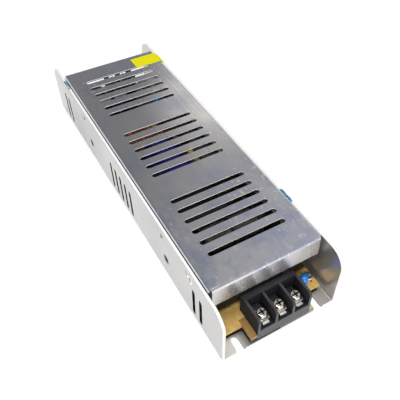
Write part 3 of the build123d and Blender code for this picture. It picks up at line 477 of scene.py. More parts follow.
@dataclass(frozen=True)
class CoverSheet(RolledSheet):
    """Sheet of the slotted cover, with painted highlights round its slots and on its front fold, and painted
    shade.
    """

    top: float = 36.3 * MM
    front: float = -95.4 * MM
    slotted: float = 24.0 * MM
    sheet: float = 1.0 * MM
    skin: float = 0.05 * MM
    fold: float = 0.46 * MM
    rim_highlight: float = 0.65 * MM
    flange: float = 29.4 * MM
    fold_highlight: float = 0.9
    flange_dull: float = 0.3
    shade: float = 0.9

    def sheared_highlight(self, g: Graph) -> Feed:
        """Mask of the painted highlight on the upper part of the slots' walls and along the front fold.

        Args:
            g: the graph of the material.

        Returns:
            1 on the upper part of the slots' walls, the fold's highlight weight on the fold, else 0.
        """
        y, z = g.axis(Axis.Y), g.axis(Axis.Z)
        slots = between(z, self.top - self.rim_highlight, self.top - self.skin)
        slots = slots * (abs(g.axis(Axis.X)) < self.slotted) * (y > self.front + 4 * self.sheet)
        fold = (z - y) > self.top - self.front - 2 * self.fold
        return slots.either(fold * self.fold_highlight * (y < self.front + 2 * self.fold))

    def dulled(self, g: Graph) -> Feed:
        """Mask of the front flange's outer face, which is rubbed matt."""
        return (g.axis(Axis.Y) < self.front + self.skin) * self.flange_dull

    def painted_shade(self, g: Graph) -> Feed:
        """Painted shade on the lower part of the slots' walls and on the side flanges behind the channel's
        walls.

        Args:
            g: the graph of the material.

        Returns:
            The shade on those, else 0.
        """
        x, y, z = abs(g.axis(Axis.X)), g.axis(Axis.Y), g.axis(Axis.Z)
        slots = between(z, self.top - self.sheet + self.skin, self.top - self.rim_highlight) * (x < self.slotted)
        flange = (x > self.flange) * (z < self.top - 2 * self.sheet)
        return (slots * (y > self.front + 4 * self.sheet)).either(flange) * self.shade


@dataclass(frozen=True)
class Plating:
    """Bright plated metal with light handling marks and dark spots."""

    name: str
    colour: Colour
    roughness: float = 0.2
    soil: float = 0.5
    soil_colour: float = 0.55
    deep_shade_colour: Colour = (0.03, 0.027, 0.022)
    grime_scale: float = 900.0
    soil_span: Span = (0.52, 0.66)
    grime_rough: float = 0.2
    line_rough: float = 0.1
    line_relief: float = 0.5
    relief: float = 0.03 * MM
    relief_weight: float = 0.6

    def shade_mask(self, g: Graph) -> Feed:
        """Mask of painted shade inside a recess; a plain plated part has none."""
        return 0.0

    def material(self) -> bpy.types.Material:
        """Builds the material: darker spots of grime on metal with fine lines along Y.

        Returns:
            The finished material.
        """
        g = Graph(bpy.data.materials.new(self.name))
        grime = g.noise(self.grime_scale, 3.0)
        lines = g.noise(1.0, 2.0, Grain.PLATED)
        soiled = tuple(self.soil_colour * c for c in self.colour)
        tone = g.blend(g.band(grime, *self.soil_span) * self.soil, self.colour, soiled)
        return g.surface(
            # Painted shade: the recess mask blends the colour towards near black.
            base_color=g.blend(self.shade_mask(g), tone, self.deep_shade_colour),
            metallic=1.0,
            roughness=grime.swing(self.grime_rough) + lines.swing(self.line_rough) + self.roughness,
            normal=g.bump(grime + lines * self.line_relief, self.relief, self.relief_weight),
        )


@dataclass(frozen=True)
class ContactPlating(Plating):
    """Plating of the contacts, whose inner ends lie in the blocks' deep shade."""

    bright_from: float = 102.6 * MM
    shade: float = 0.93

    def shade_mask(self, g: Graph) -> Feed:
        """Mask of painted shade on the inner ends, nearer to the case's middle than the screws."""
        return (abs(g.axis(Axis.Y)) < self.bright_from) * self.shade


@dataclass(frozen=True)
class ScrewPlating(Plating):
    """Plating of one screw, with painted shade in its cross recess and round the foot of its head."""

    centre: Place = (0.0, 0.0, 0.0)
    reach: float = 2.25 * MM
    lip: float = 0.2 * MM

    def shade_mask(self, g: Graph) -> Feed:
        """Mask of painted shade in the cross recess, near the head's axis and below its top."""
        near = apart(g.axis(Axis.X), g.axis(Axis.Y), self.centre[:2]) < self.reach**2
        return near * (g.axis(Axis.Z) < self.centre[2] - self.lip)


@dataclass(frozen=True)
class Moulded:
    """Moulded plastic, resin or ferrite: fine spark texture, slight mottle and dust."""

    name: str
    colour: Colour
    roughness: float = 0.5
    grain_scale: float = 2600.0
    grain_depth: float = 0.03 * MM
    dust: float = 0.15
    coat: float = 0.0
    specular: float = 0.5
    hidden_colour: Colour = (0.002, 0.002, 0.003)
    mottle_scale: float = 120.0
    dust_span: Span = (0.45, 0.75)
    dust_gain: float = 1.5
    dust_lift: float = 0.05
    mottle_rough: float = 0.25
    hidden_rough: float = 0.4
    relief_weight: float = 0.5

    def hidden(self, g: Graph) -> Feed:
        """Mask of places that no light reaches; a plain part has none."""
        return 0.0

    def material(self) -> bpy.types.Material:
        """Builds the material: a paler dust in patches, over a fine grain.

        Returns:
            The finished material.
        """
        g = Graph(bpy.data.materials.new(self.name))
        grain = g.noise(self.grain_scale, 2.0)
        mottle = g.noise(self.mottle_scale, 3.0)
        dusty = tuple(min(1.0, c * self.dust_gain + self.dust_lift) for c in self.colour)
        tone = g.blend(g.band(mottle, *self.dust_span) * self.dust, self.colour, dusty)
        hidden = self.hidden(g)
        return g.surface(
            base_color=g.blend(hidden, tone, self.hidden_colour),
            roughness=mottle.swing(self.mottle_rough) + (self.roughness + hidden * self.hidden_rough),
            coat_weight=self.coat,
            specular_ior_level=self.specular,
            normal=g.bump(grain, self.grain_depth, self.relief_weight),
        )


@dataclass(frozen=True)
class BarrierMoulding(Moulded):
    """Moulding of a barrier block, whose bays between the dividers are in deep shade."""

    low: Place = (0.0, 0.0, 0.0)
    high: Place = (0.0, 0.0, 0.0)
    poles: int = 1
    divider: float = 1.3 * MM
    skin: float = 0.08 * MM
    shade: float = 0.9

    def hidden(self, g: Graph) -> Feed:
        """Mask of the bays.

        The distance to the nearest bay's middle is |x / pitch - round(x / pitch)| * pitch, with x
        counted from the first bay's middle.

        Args:
            g: the graph of the material.

        Returns:
            The shade on what lies between the dividers and below their tops, else 0.
        """
        pitch = (self.high[0] - self.low[0] - self.divider) / self.poles
        first = self.low[0] + (self.divider + pitch) / 2
        along = (g.axis(Axis.X) - first) * (1.0 / pitch)
        away = abs(along - along.nearest()) * pitch
        bay = (away < (pitch - self.divider) / 2 + self.skin) * (g.axis(Axis.Z) < self.high[2] - self.skin)
        return bay * between(g.axis(Axis.Y), self.low[1] + self.skin, self.high[1] - self.skin) * self.shade


@dataclass(frozen=True)
class Laminate:
    """Bare phenolic board: golden tan with fibres and warm clouds, in shade under the cover's flange.

    A painted shadow of the terminal block lies as a dark strip on its front tongue, from tongue_left to the
    middle.
    Each dark dot has its place along X and Y and its radius, all in mm.
    """

    name: str
    colour: Colour = (0.86, 0.58, 0.19)
    dark: Colour = (0.62, 0.38, 0.10)
    tongue_shadow_colour: Colour = (0.27, 0.13, 0.035)
    shade_colour: Colour = (0.01, 0.006, 0.002)
    dot_colour: Colour = (0.05, 0.03, 0.01)
    speck_colour: Colour = (0.85, 0.62, 0.25)
    shade_span: Span = (-91.0 * MM, -89.3 * MM)
    tongue_front: float = -98.5 * MM
    tongue_left: float = -16.95 * MM
    dot_places: tuple = ((-18.8, -89.6, 0.55), (-16.8, -90.2, 0.45), (26.2, -98.2, 0.6))
    dot_span: Span = (1.4, 0.6)
    cloud_scale: float = 70.0
    speck_scale: float = 900.0
    fibre_share: float = 0.5
    tone_span: Span = (0.38, 0.62)
    speck_span: Span = (0.12, 0.05)
    tongue_shadow_weight: float = 0.8
    shade_weight: float = 0.96
    dot_weight: float = 0.8
    speck_weight: float = 0.35
    roughness: float = 0.42
    fibre_rough: float = 0.3
    coat: float = 0.2
    relief: float = 0.03 * MM
    relief_weight: float = 0.4

    def dark_dots(self, g: Graph) -> Feed:
        """Dark dots on the board.

        Args:
            g: the graph of the material.

        Returns:
            1 on a dot, fading to 0 round it.
        """
        x, y = g.axis(Axis.X), g.axis(Axis.Y)
        dots = 0.0
        for place_x, place_y, radius in self.dot_places:
            reach = apart(x, y, (place_x * MM, place_y * MM)) * (1.0 / (radius * MM) ** 2)
            dots = g.band(reach, *self.dot_span) + dots
        return dots

    def material(self) -> bpy.types.Material:
        """Builds the material: fibres and clouds, then the painted shadow on the tongue, the painted shade
        under the flange, the dark dots and specks.

        Returns:
            The finished material.
        """
        g = Graph(bpy.data.materials.new(self.name))
        fibres = g.noise(1.0, 3.0, Grain.FIBROUS)
        clouds = g.noise(self.cloud_scale, 4.0)
        mixed = fibres * self.fibre_share + clouds * (1.0 - self.fibre_share)
        tone = g.blend(g.band(mixed, *self.tone_span), self.dark, self.colour)
        # Painted shadow of the terminal block: a dark strip on the tongue.
        block_shadow = (g.axis(Axis.Y) < self.tongue_front) * between(g.axis(Axis.X), self.tongue_left, 0.0)
        tone = g.blend(block_shadow * self.tongue_shadow_weight, tone, self.tongue_shadow_colour)
        tone = g.blend(g.band(g.axis(Axis.Y), *self.shade_span) * self.shade_weight, tone, self.shade_colour)
        tone = g.blend(self.dark_dots(g) * self.dot_weight, tone, self.dot_colour)
        speck = g.band(g.cells(self.speck_scale), *self.speck_span) * self.speck_weight
        return g.surface(
            base_color=g.blend(speck, tone, self.speck_colour),
            roughness=fibres.swing(self.fibre_rough) + self.roughness,
            coat_weight=self.coat,
            normal=g.bump(fibres + clouds, self.relief, self.relief_weight),
        )


@dataclass(frozen=True)
class Striped:
    """Wound tape or wire on a CAD solid: parallel turns, with a painted highlight on each and painted shade
    between.
    """

    name: str
    colour: Colour
    shade: Colour
    along: Axis
    pitch: float
    roughness: float
    relief: float
    waver_scale: float = 60.0
    mottle_scale: float = 200.0
    turn_span: Span = (0.1, 0.7)
    mottle_span: Span = (0.5, 0.8)
    mottle_weight: float = 0.4
    mottle_rough: float = 0.2
    coat: float = 0.3
    relief_weight: float = 0.8

    def material(self) -> bpy.types.Material:
        """Builds the material: |sin(pi * place / pitch + noise)| is the height of each turn and sets its
        painted shade and highlight.

        Returns:
            The finished material.
        """
        g = Graph(bpy.data.materials.new(self.name))
        turns = abs((g.axis(self.along) * (math.pi / self.pitch) + g.noise(self.waver_scale, 1.0)).wave())
        mottle = g.noise(self.mottle_scale, 3.0)
        # Painted shade in the grooves and a painted highlight on each crest; the random mottle also darkens
        # towards the shade colour.
        tone = g.blend(g.band(turns, *self.turn_span), self.shade, self.colour)
        return g.surface(
            base_color=g.blend(g.band(mottle, *self.mottle_span) * self.mottle_weight, tone, self.shade),
            roughness=mottle.swing(self.mottle_rough) + self.roughness,
            coat_weight=self.coat,
            normal=g.bump(turns, self.relief, self.relief_weight),
        )


@dataclass(frozen=True)
class Sleeve:
    """Shrink sleeve of a capacitor, faded in places, with a bare metal top where one is given."""

    name: str
    colour: Colour
    faded: Colour
    top: Optional[float] = None
    coat: float = 0.2
    metal: Colour = (0.62, 0.62, 0.63)
    rim: Pair = (0.3 * MM, 0.1 * MM)
    ripple_scale: float = 300.0
    fade_scale: float = 90.0
    fade_span: Span = (0.5, 0.8)
    fade_weight: float = 0.3
    fade_rough: float = 0.2
    roughness: float = 0.38
    specular: float = 0.3
    relief: float = 0.08 * MM
    relief_weight: float = 0.4

    def material(self) -> bpy.types.Material:
        """Builds the material; where a top is given, what lies within the rim of it is metal.

        Returns:
            The finished material.
        """
        g = Graph(bpy.data.materials.new(self.name))
        fade = g.noise(self.fade_scale, 3.0)
        tone = g.blend(g.band(fade, *self.fade_span) * self.fade_weight, self.colour, self.faded)
        bare: Feed = 0.0
        if self.top is not None:
            bare = g.band(g.axis(Axis.Z), self.top - self.rim[0], self.top - self.rim[1])
            tone = g.blend(bare, tone, self.metal)
        return g.surface(
            base_color=tone,
            metallic=bare,
            roughness=fade.swing(self.fade_rough) + self.roughness,
            coat_weight=self.coat,
            specular_ior_level=self.specular,
            normal=g.bump(g.noise(self.ripple_scale, 2.0), self.relief, self.relief_weight),
        )


@dataclass(frozen=True)
class Clear:
    """Clear glass or film: partly see-through, with smears that catch the light; film is torn."""

    name: str
    colour: Colour
    alpha: float
    roughness: float
    torn: float = 0.0
    smear_scale: float = 500.0
    tear_scale: float = 420.0
    tear_span: Span = (-0.01, 0.02)
    smear_gain: float = 1.3
    smear_alpha: float = 0.3
    smear_rough: float = 0.15
    relief: float = 0.04 * MM
    relief_weight: float = 0.3

    def material(self) -> bpy.types.Material:
        """Builds the material; it is gone wherever the tear noise lies below the torn level.

        Returns:
            The finished material.
        """
        g = Graph(bpy.data.materials.new(self.name))
        smear = g.noise(self.smear_scale, 4.0)
        left = g.band(g.noise(self.tear_scale, 4.0), *(self.torn + edge for edge in self.tear_span))
        return g.surface(
            base_color=g.blend(smear, self.colour, tuple(min(1.0, c * self.smear_gain) for c in self.colour)),
            alpha=(smear.swing(self.smear_alpha) + self.alpha) * left,
            roughness=smear.swing(self.smear_rough) + self.roughness,
            normal=g.bump(smear, self.relief, self.relief_weight),
        )


def dress(material: bpy.types.Material, *names: str) -> None:
    """Gives CAD nodes a material.

    Args:
        material: the finished material.
        names: the nodes that take it.
    """
    for name in names:
        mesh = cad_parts[name].data
        mesh.materials.clear()
        mesh.materials.append(material)
        log.info("dressed %s with %s", name, material.name)


def grid_piece(
    name: str, points: np.ndarray, material: bpy.types.Material, wrap: tuple[bool, bool]
) -> bpy.types.Object:
    """Makes a mesh from a grid of points, one quad between each four neighbours.

    Args:
        name: the piece's name.
        points: array of shape (pieces, rows, columns, 3), each piece a separate sheet.
        material: what it is dressed with.
        wrap: whether rows and columns close on themselves.

    Returns:
        The object, which rides on the chassis.
    """
    count, rows, columns, _ = points.shape
    row = np.arange(rows if wrap[0] else rows - 1)
    column = np.arange(columns if wrap[1] else columns - 1)
    r, c = np.meshgrid(row, column, indexing="ij")
    r2, c2 = (r + 1) % rows, (c + 1) % columns
    quads = np.stack([r * columns + c, r2 * columns + c, r2 * columns + c2, r * columns + c2], axis=-1)
    quads = quads.reshape(1, -1, 4) + (np.arange(count) * rows * columns)[:, None, None]
    mesh = bpy.data.meshes.new(name)
    mesh.from_pydata(points.reshape(-1, 3), [], quads.reshape(-1, 4).tolist())
    mesh.polygons.foreach_set("use_smooth", np.ones(len(mesh.polygons), bool))
    mesh.materials.append(material)
    mesh.update()
    made = bpy.data.objects.new(name, mesh)
    bpy.context.scene.collection.objects.link(made)
    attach(made, CHASSIS)
    log.info("built %s with %d faces", name, len(mesh.polygons))
    return made


def tube(path: np.ndarray, side: np.ndarray, radius: float, sides: int) -> np.ndarray:
    """Round wire along a path: centre + radius * (cos a * side + sin a * (tangent x side)).

    Args:
        path: centre points, (n, 3).
        side: unit vectors square to the path, (n, 3).
        radius: the wire's radius.
        sides: points round the wire.

    Returns:
        Grid of points, (n, sides, 3).
    """
    tangent = np.gradient(path, axis=0)
    tangent /= np.linalg.norm(tangent, axis=1, keepdims=True)
    across = side - tangent * np.sum(side * tangent, axis=1, keepdims=True)
    across /= np.linalg.norm(across, axis=1, keepdims=True)
    other = np.cross(tangent, across)
    angle = np.arange(sides) * TAU / sides
    return path[:, None] + radius * (
        np.cos(angle)[None, :, None] * across[:, None] + np.sin(angle)[None, :, None] * other[:, None]
    )


def rounded_loop(
    half_width: float, half_height: float, corner: float, steps: int
) -> tuple[np.ndarray, np.ndarray]:
    """Outline of a rectangle with round corners, evenly spaced along its length.

    Each corner is a quarter circle, the runs between them are straight, and the points are read
    off the whole outline by its length.

    Args:
        half_width: half the outline's width.
        half_height: half its height.
        corner: the corners' radius.
        steps: number of points.

    Returns:
        Points (steps, 2) and outward normals (steps, 2).
    """
    turn = np.linspace(0, math.pi / 2, CORNER_STEPS)
    points = []
    normals = []
    for quarter in range(4):
        angle = turn + quarter * math.pi / 2
        normal = np.stack([np.cos(angle), np.sin(angle)], axis=1)
        sign_x = 1 if quarter in (0, 3) else -1
        sign_y = 1 if quarter in (0, 1) else -1
        centre = np.array([sign_x * (half_width - corner), sign_y * (half_height - corner)])
        points.append(centre + corner * normal)
        normals.append(normal)
    line = np.concatenate(points + [points[0][:1]])
    out = np.concatenate(normals + [normals[0][:1]])
    length = np.concatenate([[0.0], np.cumsum(np.linalg.norm(np.diff(line, axis=0), axis=1))])
    want = np.arange(steps) * length[-1] / steps
    place = np.stack([np.interp(want, length, line[:, k]) for k in range(2)], axis=1)
    facing = np.stack([np.interp(want, length, out[:, k]) for k in range(2)], axis=1)
    return place, facing / np.linalg.norm(facing, axis=1, keepdims=True)


@dataclass
class Assembly:
    """A sub-assembly. Each of its rows is a finish, followed by the CAD nodes that take it."""

    rows: tuple = ()

    def dress(self) -> None:
        """Dresses the nodes of every row."""
        for finish, *names in self.rows:
            dress(finish.material(), *names)


@dataclass
class Case(Assembly):
    """The folded base channel, the slotted cover, their screws and the bar along the wall."""

    rows: tuple = (
        (
            ChannelSheet("rolled_aluminium", (0.64, 0.625, 0.62), (0.54, 0.53, 0.53), 0.2, 0.05, scuffs=0.1),
            "base_channel",
        ),
        (
            CoverSheet("brushed_cover", (0.72, 0.71, 0.745), (0.48, 0.52, 0.66), 0.2, 0.08, scuffs=0.9),
            "top_cover",
        ),
        (
            RolledSheet("extruded_bar", (0.90, 0.89, 0.88), (0.75, 0.74, 0.73), nicks=0.2),
            "heat_bar", "clamp_strips",
        ),
        (
            Plating("nickel_screw", (0.78, 0.76, 0.72), 0.22),
            "cover_screws", "board_screws", "board_standoffs", "strip_screws",
        ),
    )


@dataclass
class Board(Assembly):
    """The circuit board, the liner under it and the small parts that need no finer surface."""

    rows: tuple = (
        (Laminate("tan_laminate"), "circuit_board"),
        # The liner's near-black colour is partly its own and partly painted shadow under the board.
        (Moulded("dark_liner", (0.012, 0.02, 0.016), 0.35), "insulating_sheet"),
        (
            Moulded("moulding_compound", (0.02, 0.02, 0.021), 0.45), "power_switch_1", "power_switch_2",
            "output_rectifier_1", "output_rectifier_2", "bridge_rectifier", "control_chip", "optocoupler",
        ),
        (
            Moulded("sintered_ferrite", (0.045, 0.044, 0.043), 0.55, 1500.0, 0.00006),
            "transformer_core", "choke_core",
        ),
        (Moulded("soft_pad", (0.45, 0.46, 0.48), 0.7), "thermal_pads"),
        (Moulded("tan_coat", (0.50, 0.36, 0.20), 0.4), "resistors"),
        (
            Moulded("blue_dip", (0.008, 0.19, 0.66), 0.22, 700.0, 0.00004, 0.1, 0.6),
            "line_disc_capacitor", "bridging_disc_capacitor",
        ),
        (Moulded("green_dip", (0.02, 0.05, 0.03), 0.3, 700.0, 0.00004, 0.1, 0.4), "inrush_thermistor"),
        (Moulded("lamp_lens", (0.04, 0.6, 0.1), 0.15, 500.0, 0.00001, 0.0, 0.5), "status_lamp"),
        (Moulded("trimmer_blue", (0.03, 0.16, 0.5), 0.4), "trimmer_body"),
        (Moulded("rotor_ivory", (0.75, 0.72, 0.62), 0.4), "trimmer_rotor"),
        (Plating("fuse_plating", (0.82, 0.80, 0.76), 0.15), "fuse_caps", "fuse_clips"),
        (Clear("fuse_glass", (0.85, 0.9, 0.9), 0.35, 0.05), "fuse_glass"),
    )


@dataclass
class Terminals(Assembly):
    """Both barrier blocks with their contacts, screws and clamps."""

    moulding: BarrierMoulding = BarrierMoulding(
        "barrier_moulding", (0.034, 0.035, 0.044), 0.4, 2200.0, 0.00003, 0.25
    )
    contact: ContactPlating = ContactPlating("tinned_contact", (0.97, 0.95, 0.90), 0.36, 0.3)
    screw: ScrewPlating = ScrewPlating("captive_screw", (0.88, 0.82, 0.74), 0.14, 0.85, 0.16)
    clamp: Plating = Plating("stamped_clamp", (0.62, 0.58, 0.52), 0.2, 0.8, 0.15)
    poles: tuple = (("input", 3), ("output", 2))

    def screw_material(self, name: str) -> bpy.types.Material:
        """Plating whose recess is centred on the top of one screw, in that screw's coordinates.

        Args:
            name: the screw's node, which also names the material.

        Returns:
            The finished material.
        """
        low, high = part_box(name)
        top = Vector(((low[0] + high[0]) / 2, (low[1] + high[1]) / 2, high[2]))
        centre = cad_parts[name].matrix_world.inverted() @ top
        return replace(self.screw, name=name, centre=tuple(centre)).material()

    def dress(self) -> None:
        """Dresses every terminal node, each block and each screw with a material of its own."""
        contact, clamp = self.contact.material(), self.clamp.material()
        for word, count in self.poles:
            low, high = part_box(f"{word}_terminal_housing")
            moulding = replace(
                self.moulding, name=f"{word}_moulding", low=tuple(low), high=tuple(high), poles=count
            )
            dress(moulding.material(), f"{word}_terminal_housing")
            dress(contact, f"{word}_contacts")
            for number in range(1, count + 1):
                dress(self.screw_material(f"{word}_screw_{number}"), f"{word}_screw_{number}")
                dress(clamp, f"{word}_clamp_{number}")


@dataclass(frozen=True)
class Layer:
    """One layer of wire on the ring: its turns, its middle's distance from the core, its radius."""

    turns: int
    offset: float
    radius: float


@dataclass
class Coils(Assembly):
    """The wound parts: ring inductor, line choke, transformer and potted choke."""

    copper: Moulded = Moulded("copper_enamel", (0.86, 0.30, 0.06), 0.22, 900.0, 0.00002, 0.2, 0.8)
    dark: Moulded = Moulded("dark_enamel", (0.085, 0.07, 0.06), 0.3, 900.0, 0.00002, 0.2, 0.5)
    rows: tuple = (
        (Moulded("powder_core", (0.42, 0.40, 0.06), 0.5), "inductor_core"),
        (Moulded("black_former", (0.02, 0.02, 0.02), 0.4), "choke_bobbin", "transformer_bobbin"),
        (
            Striped("winding_tape", (0.85, 0.56, 0.15), (0.45, 0.26, 0.06), Axis.Y, 6.0 * MM, 0.25, 0.04 * MM),
            "transformer_winding",
        ),
        (Moulded("black_potting", (0.015, 0.015, 0.016), 0.3), "potted_choke"),
    )
    layers: tuple = (Layer(44, 0.475 * MM, 0.475 * MM), Layer(38, 1.425 * MM, 0.475 * MM))
    ring_thickness: float = 4.4 * MM
    ring_corner: float = 1.0 * MM
    wire_steps: int = 44
    wire_sides: int = 8
    open_angle: float = math.radians(25.0)
    choke_gap: float = 0.7 * MM
    choke_wire: float = 0.87 * MM
    choke_steps: int = 8
    choke_sides: int = 64

    def ring_turns(self) -> bpy.types.Object:
        """Wires of the ring inductor, in two layers.

        Each wire climbs round the ring's rounded section while it moves on along the ring:
        with t the outline's share and s = (turn + t) / turns, the point lies at the outline's
        place, offset outwards, on the half plane at angle s of the ring. The shorter wire repeats
        its last point, so that both fit one array.

        Returns:
            The piece that stands for the CAD winding.
        """
        low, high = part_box("inductor_core")
        centre = (np.array(low) + np.array(high)) / 2
        outer = (high.x - low.x) / 2
        inner = outer - self.ring_thickness
        half = (high.z - low.z) / 2
        wires = []
        for layer in self.layers:
            place, facing = rounded_loop((outer - inner) / 2, half, self.ring_corner, self.wire_steps)
            place = place + facing * layer.offset
            count = layer.turns * self.wire_steps
            share = np.arange(count) / count
            section = np.tile(place, (layer.turns, 1))
            out = np.tile(facing, (layer.turns, 1))
            angle = share * (TAU - self.open_angle) + self.open_angle / 2
            reach = (outer + inner) / 2 + section[:, 0]
            path = np.stack([reach * np.cos(angle), reach * np.sin(angle), section[:, 1]], axis=1) + centre
            side = np.stack([out[:, 0] * np.cos(angle), out[:, 0] * np.sin(angle), out[:, 1]], axis=1)
            wires.append(tube(path, side, layer.radius, self.wire_sides))
        longest = max(len(wire) for wire in wires)
        padded = [np.concatenate([wire, np.repeat(wire[-1:], longest - len(wire), axis=0)]) for wire in wires]
        copper = self.copper.material()
        made = grid_piece("inductor_turns", np.stack(padded), copper, (False, True))
        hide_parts("inductor_winding")
        return made

    def choke_turns(self) -> bpy.types.Object:
        """Windings of the line choke: a tube whose radius swells over each turn.

        The radius at x is the full radius less the wire's own fall: w / 2 * (1 - |sin|) with one
        arch for each turn.

        Returns:
            The piece that stands for the CAD windings.
        """
        low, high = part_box("choke_windings")
        centre_y = (low.y + high.y) / 2
        centre_z = (low.z + high.z) / 2
        full = (high.y - low.y) / 2
        middle = (low.x + high.x) / 2
        angle = np.arange(self.choke_sides) * TAU / self.choke_sides
        chambers = []
        for side in (-1, 1):
            start, end = middle + side * self.choke_gap, middle + side * (high.x - low.x) / 2
            turns = round(abs(end - start) / self.choke_wire)
            share = np.linspace(0, 1, turns * self.choke_steps + 1)
            x = start + (end - start) * share
            swell = np.abs(np.sin(share * turns * math.pi))
            radius = full - self.choke_wire / 2 * (1 - swell)
            ring = np.stack(
                [
                    np.repeat(x[:, None], self.choke_sides, axis=1),
                    centre_y + radius[:, None] * np.cos(angle)[None],
                    centre_z + radius[:, None] * np.sin(angle)[None],
                ],
                axis=2,
            )
            chambers.append(ring if side > 0 else ring[::-1])
        dark = self.dark.material()
        made = grid_piece("choke_turns", np.stack(chambers), dark, (False, True))
        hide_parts("choke_windings")
        return made

    def build(self) -> None:
        """Builds both wound pieces."""
        self.ring_turns()
        self.choke_turns()


@dataclass
class Cans(Assembly):
    """Capacitors in shrink sleeves."""

    navy: Sleeve = Sleeve("navy_sleeve", (0.006, 0.008, 0.17), (0.02, 0.02, 0.26), coat=0.0)
    black: Sleeve = Sleeve("black_sleeve", (0.012, 0.012, 0.015), (0.05, 0.05, 0.06))
    tall_cans: int = 5

    def dress(self) -> None:
        """Dresses every can; the black ones have a bare metal top."""
        dress(self.navy.material(), "bulk_capacitor")
        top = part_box("output_capacitor_1")[1].z
        tall = replace(self.black, name="tall_can", top=top).material()
        dress(tall, *[f"output_capacitor_{number}" for number in range(1, self.tall_cans + 1)])
        short_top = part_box("small_capacitors")[1].z
        dress(replace(self.black, name="short_can", top=short_top).material(), "small_capacitors")


@dataclass
class Trim(Assembly):
    """The yellow sticker and the scraps of film left on the case."""

    rows: tuple = (
        (Moulded("yellow_paper", (0.80, 0.75, 0.002), 0.7, 1200.0, 0.00002, 0.05, 0.0, 0.1), "yellow_sticker"),
        (Clear("blue_film", (0.02, 0.24, 0.46), 0.75, 0.2, 0.52), "film_scraps"),
    )


@dataclass(frozen=True)
class Lamp:
    """A square soft lamp that faces the middle of the case."""

    name: str
    place: Place
    size: float
    watts: float

    def build(self) -> None:
        """Adds the lamp to the scene, turned so that it shines from its place to the origin."""
        data = bpy.data.lights.new(self.name, "AREA")
        data.size = self.size
        data.energy = self.watts
        made = bpy.data.objects.new(self.name, data)
        made.location = self.place
        made.rotation_mode = "QUATERNION"
        made.rotation_quaternion = (-Vector(self.place)).to_track_quat("-Z", "Y")
        bpy.context.scene.collection.objects.link(made)


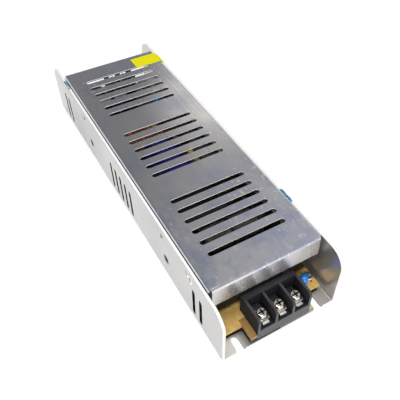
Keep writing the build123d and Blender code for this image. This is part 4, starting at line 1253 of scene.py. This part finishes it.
@dataclass
class Studio:
    """Floor, reflection card, lamps, world and camera.

    The camera's turn is a vector along its axis whose length is its angle in radians.
    """

    camera_mm: Place = (-88.6, -199.6, 222.9)
    turn: Place = (2.3251, -0.6261, 0.2509)
    focal_px: float = 515.70
    centre_px: Pair = (216.44, 199.38)
    image_px: float = 400.0
    sensor_mm: float = 36.0
    clip_start: float = 0.01
    world_level: float = 0.45
    floor_size: float = 60.0
    floor_centre: Place = (0.0, 0.0, 0.0)
    floor_colour: Colour = (0.86, 0.86, 0.86)
    floor_glow: Colour = (0.32, 0.32, 0.32)
    floor_rough: float = 0.9
    card_size: float = 5.0
    card_centre: Place = (0.0, 0.6, 1.2)
    card_level: float = 0.2
    near_level: float = 0.5
    near_span: Span = (1.3, 0.55)
    far_span: Span = (1.5, 1.2)
    side_span: Span = (0.2, 0.9)
    side_low: float = -0.4
    side_rise: float = 0.7
    patch_colour: Colour = (1.25, 1.18, 1.06)
    patch_centre: Pair = (0.9, 1.46)
    patch_radius: float = 0.28
    patch_core: float = 0.24
    lamps: tuple = (
        Lamp("key_lamp", (-0.3, -0.8, 0.65), 0.5, 5.0),
        Lamp("top_lamp", (-0.03, 0.0, 1.0), 0.35, 3.2),
    )

    def camera(self) -> None:
        """Sets the camera from the fitted turn, whose rows are right, down and forward."""
        vector = np.array(self.turn)
        angle = float(np.linalg.norm(vector))
        x, y, z = vector / angle
        cross = np.array([[0, -z, y], [z, 0, -x], [-y, x, 0]])
        rows = np.eye(3) + math.sin(angle) * cross + (1 - math.cos(angle)) * cross @ cross
        matrix = np.eye(4)
        matrix[:3, 0], matrix[:3, 1], matrix[:3, 2] = rows[0], -rows[1], -rows[2]
        matrix[:3, 3] = np.array(self.camera_mm) * MM
        data = bpy.data.cameras.new("photo_camera")
        data.sensor_width = self.sensor_mm
        data.lens = self.focal_px / self.image_px * self.sensor_mm
        data.shift_x = 0.5 - self.centre_px[0] / self.image_px
        data.shift_y = self.centre_px[1] / self.image_px - 0.5
        data.clip_start = self.clip_start
        made = bpy.data.objects.new("photo_camera", data)
        made.matrix_world = Matrix(matrix.tolist())
        bpy.context.scene.collection.objects.link(made)
        bpy.context.scene.camera = made

    def plane(self, name: str, size: float, centre: Place, material: bpy.types.Material) -> bpy.types.Object:
        """A flat square stage piece, level and with its place in its mesh.

        Args:
            name: the piece's name.
            size: the length of its sides.
            centre: where its middle lies.
            material: what it is dressed with.

        Returns:
            The object.
        """
        half = size / 2
        corners = [(-half, -half, 0), (half, -half, 0), (half, half, 0), (-half, half, 0)]
        mesh = bpy.data.meshes.new(name)
        mesh.from_pydata([tuple(np.add(corner, centre)) for corner in corners], [], [(0, 1, 2, 3)])
        mesh.materials.append(material)
        made = bpy.data.objects.new(name, mesh)
        bpy.context.scene.collection.objects.link(made)
        return made

    def floor(self) -> None:
        """Pale floor that reaches white for the camera, for metal and for glass, and keeps a shadow."""
        g = Graph(bpy.data.materials.new("pale_floor"))
        material = g.surface(
            base_color=self.floor_colour,
            roughness=self.floor_rough,
            emission_color=g.blend(g.seen(), BLACK, self.floor_glow),
            emission_strength=1.0,
        )
        self.plane("floor", self.floor_size, self.floor_centre, material)

    def card(self) -> None:
        """Grey ceiling card that only polished surfaces see, paler in a soft round patch.

        The patch fades with the square of the distance from its centre, from 1 at its core to 0 at
        its radius. The card pales towards the input end, where its left side is darker and its
        right side paler.
        """
        g = Graph(bpy.data.materials.new("ceiling_card"))
        x, y = g.axis(Axis.X), g.axis(Axis.Y)
        patch = g.band(apart(x, y, self.patch_centre), self.patch_radius**2, self.patch_core**2)
        near = g.band(y, *self.near_span) * (self.near_level - self.card_level) + self.card_level
        side = g.band(x, *self.side_span) * self.side_rise + self.side_low
        level = near * (side * g.band(y, *self.far_span) + 1.0)
        material = g.surface(
            base_color=BLACK,
            emission_color=g.blend(patch, level, self.patch_colour),
            emission_strength=1.0,
        )
        made = self.plane("ceiling_card", self.card_size, self.card_centre, material)
        made.visible_camera = False
        made.visible_diffuse = False
        made.visible_shadow = False
        made.visible_transmission = False

    def world(self) -> None:
        """White world for the camera, metal and glass, and a softer one for matt surfaces."""
        g = Graph(bpy.data.worlds.new("studio_world"))
        sky = g.blend(g.seen(), (self.world_level,) * 3, WHITE)
        light = g.node("ShaderNodeBackground", inputs={"Color": sky})
        g.add("ShaderNodeOutputWorld", inputs={"Surface": light})
        bpy.context.scene.world = g.owner

    def build(self) -> None:
        """Sets up everything round the object."""
        bpy.context.scene.view_settings.view_transform = "Standard"
        self.camera()
        self.floor()
        self.card()
        self.world()
        for lamp in self.lamps:
            lamp.build()


def main() -> None:
    """Builds and dresses each sub-assembly in order."""
    logging.basicConfig(level=logging.INFO, format="%(message)s")
    Studio().build()
    coils = Coils()
    for part in (Case(), Board(), Terminals(), coils, Cans(), Trim()):
        part.dress()
        log.info("%s dressed", type(part).__name__)
    coils.build()


if __name__ == "__main__":
    main()
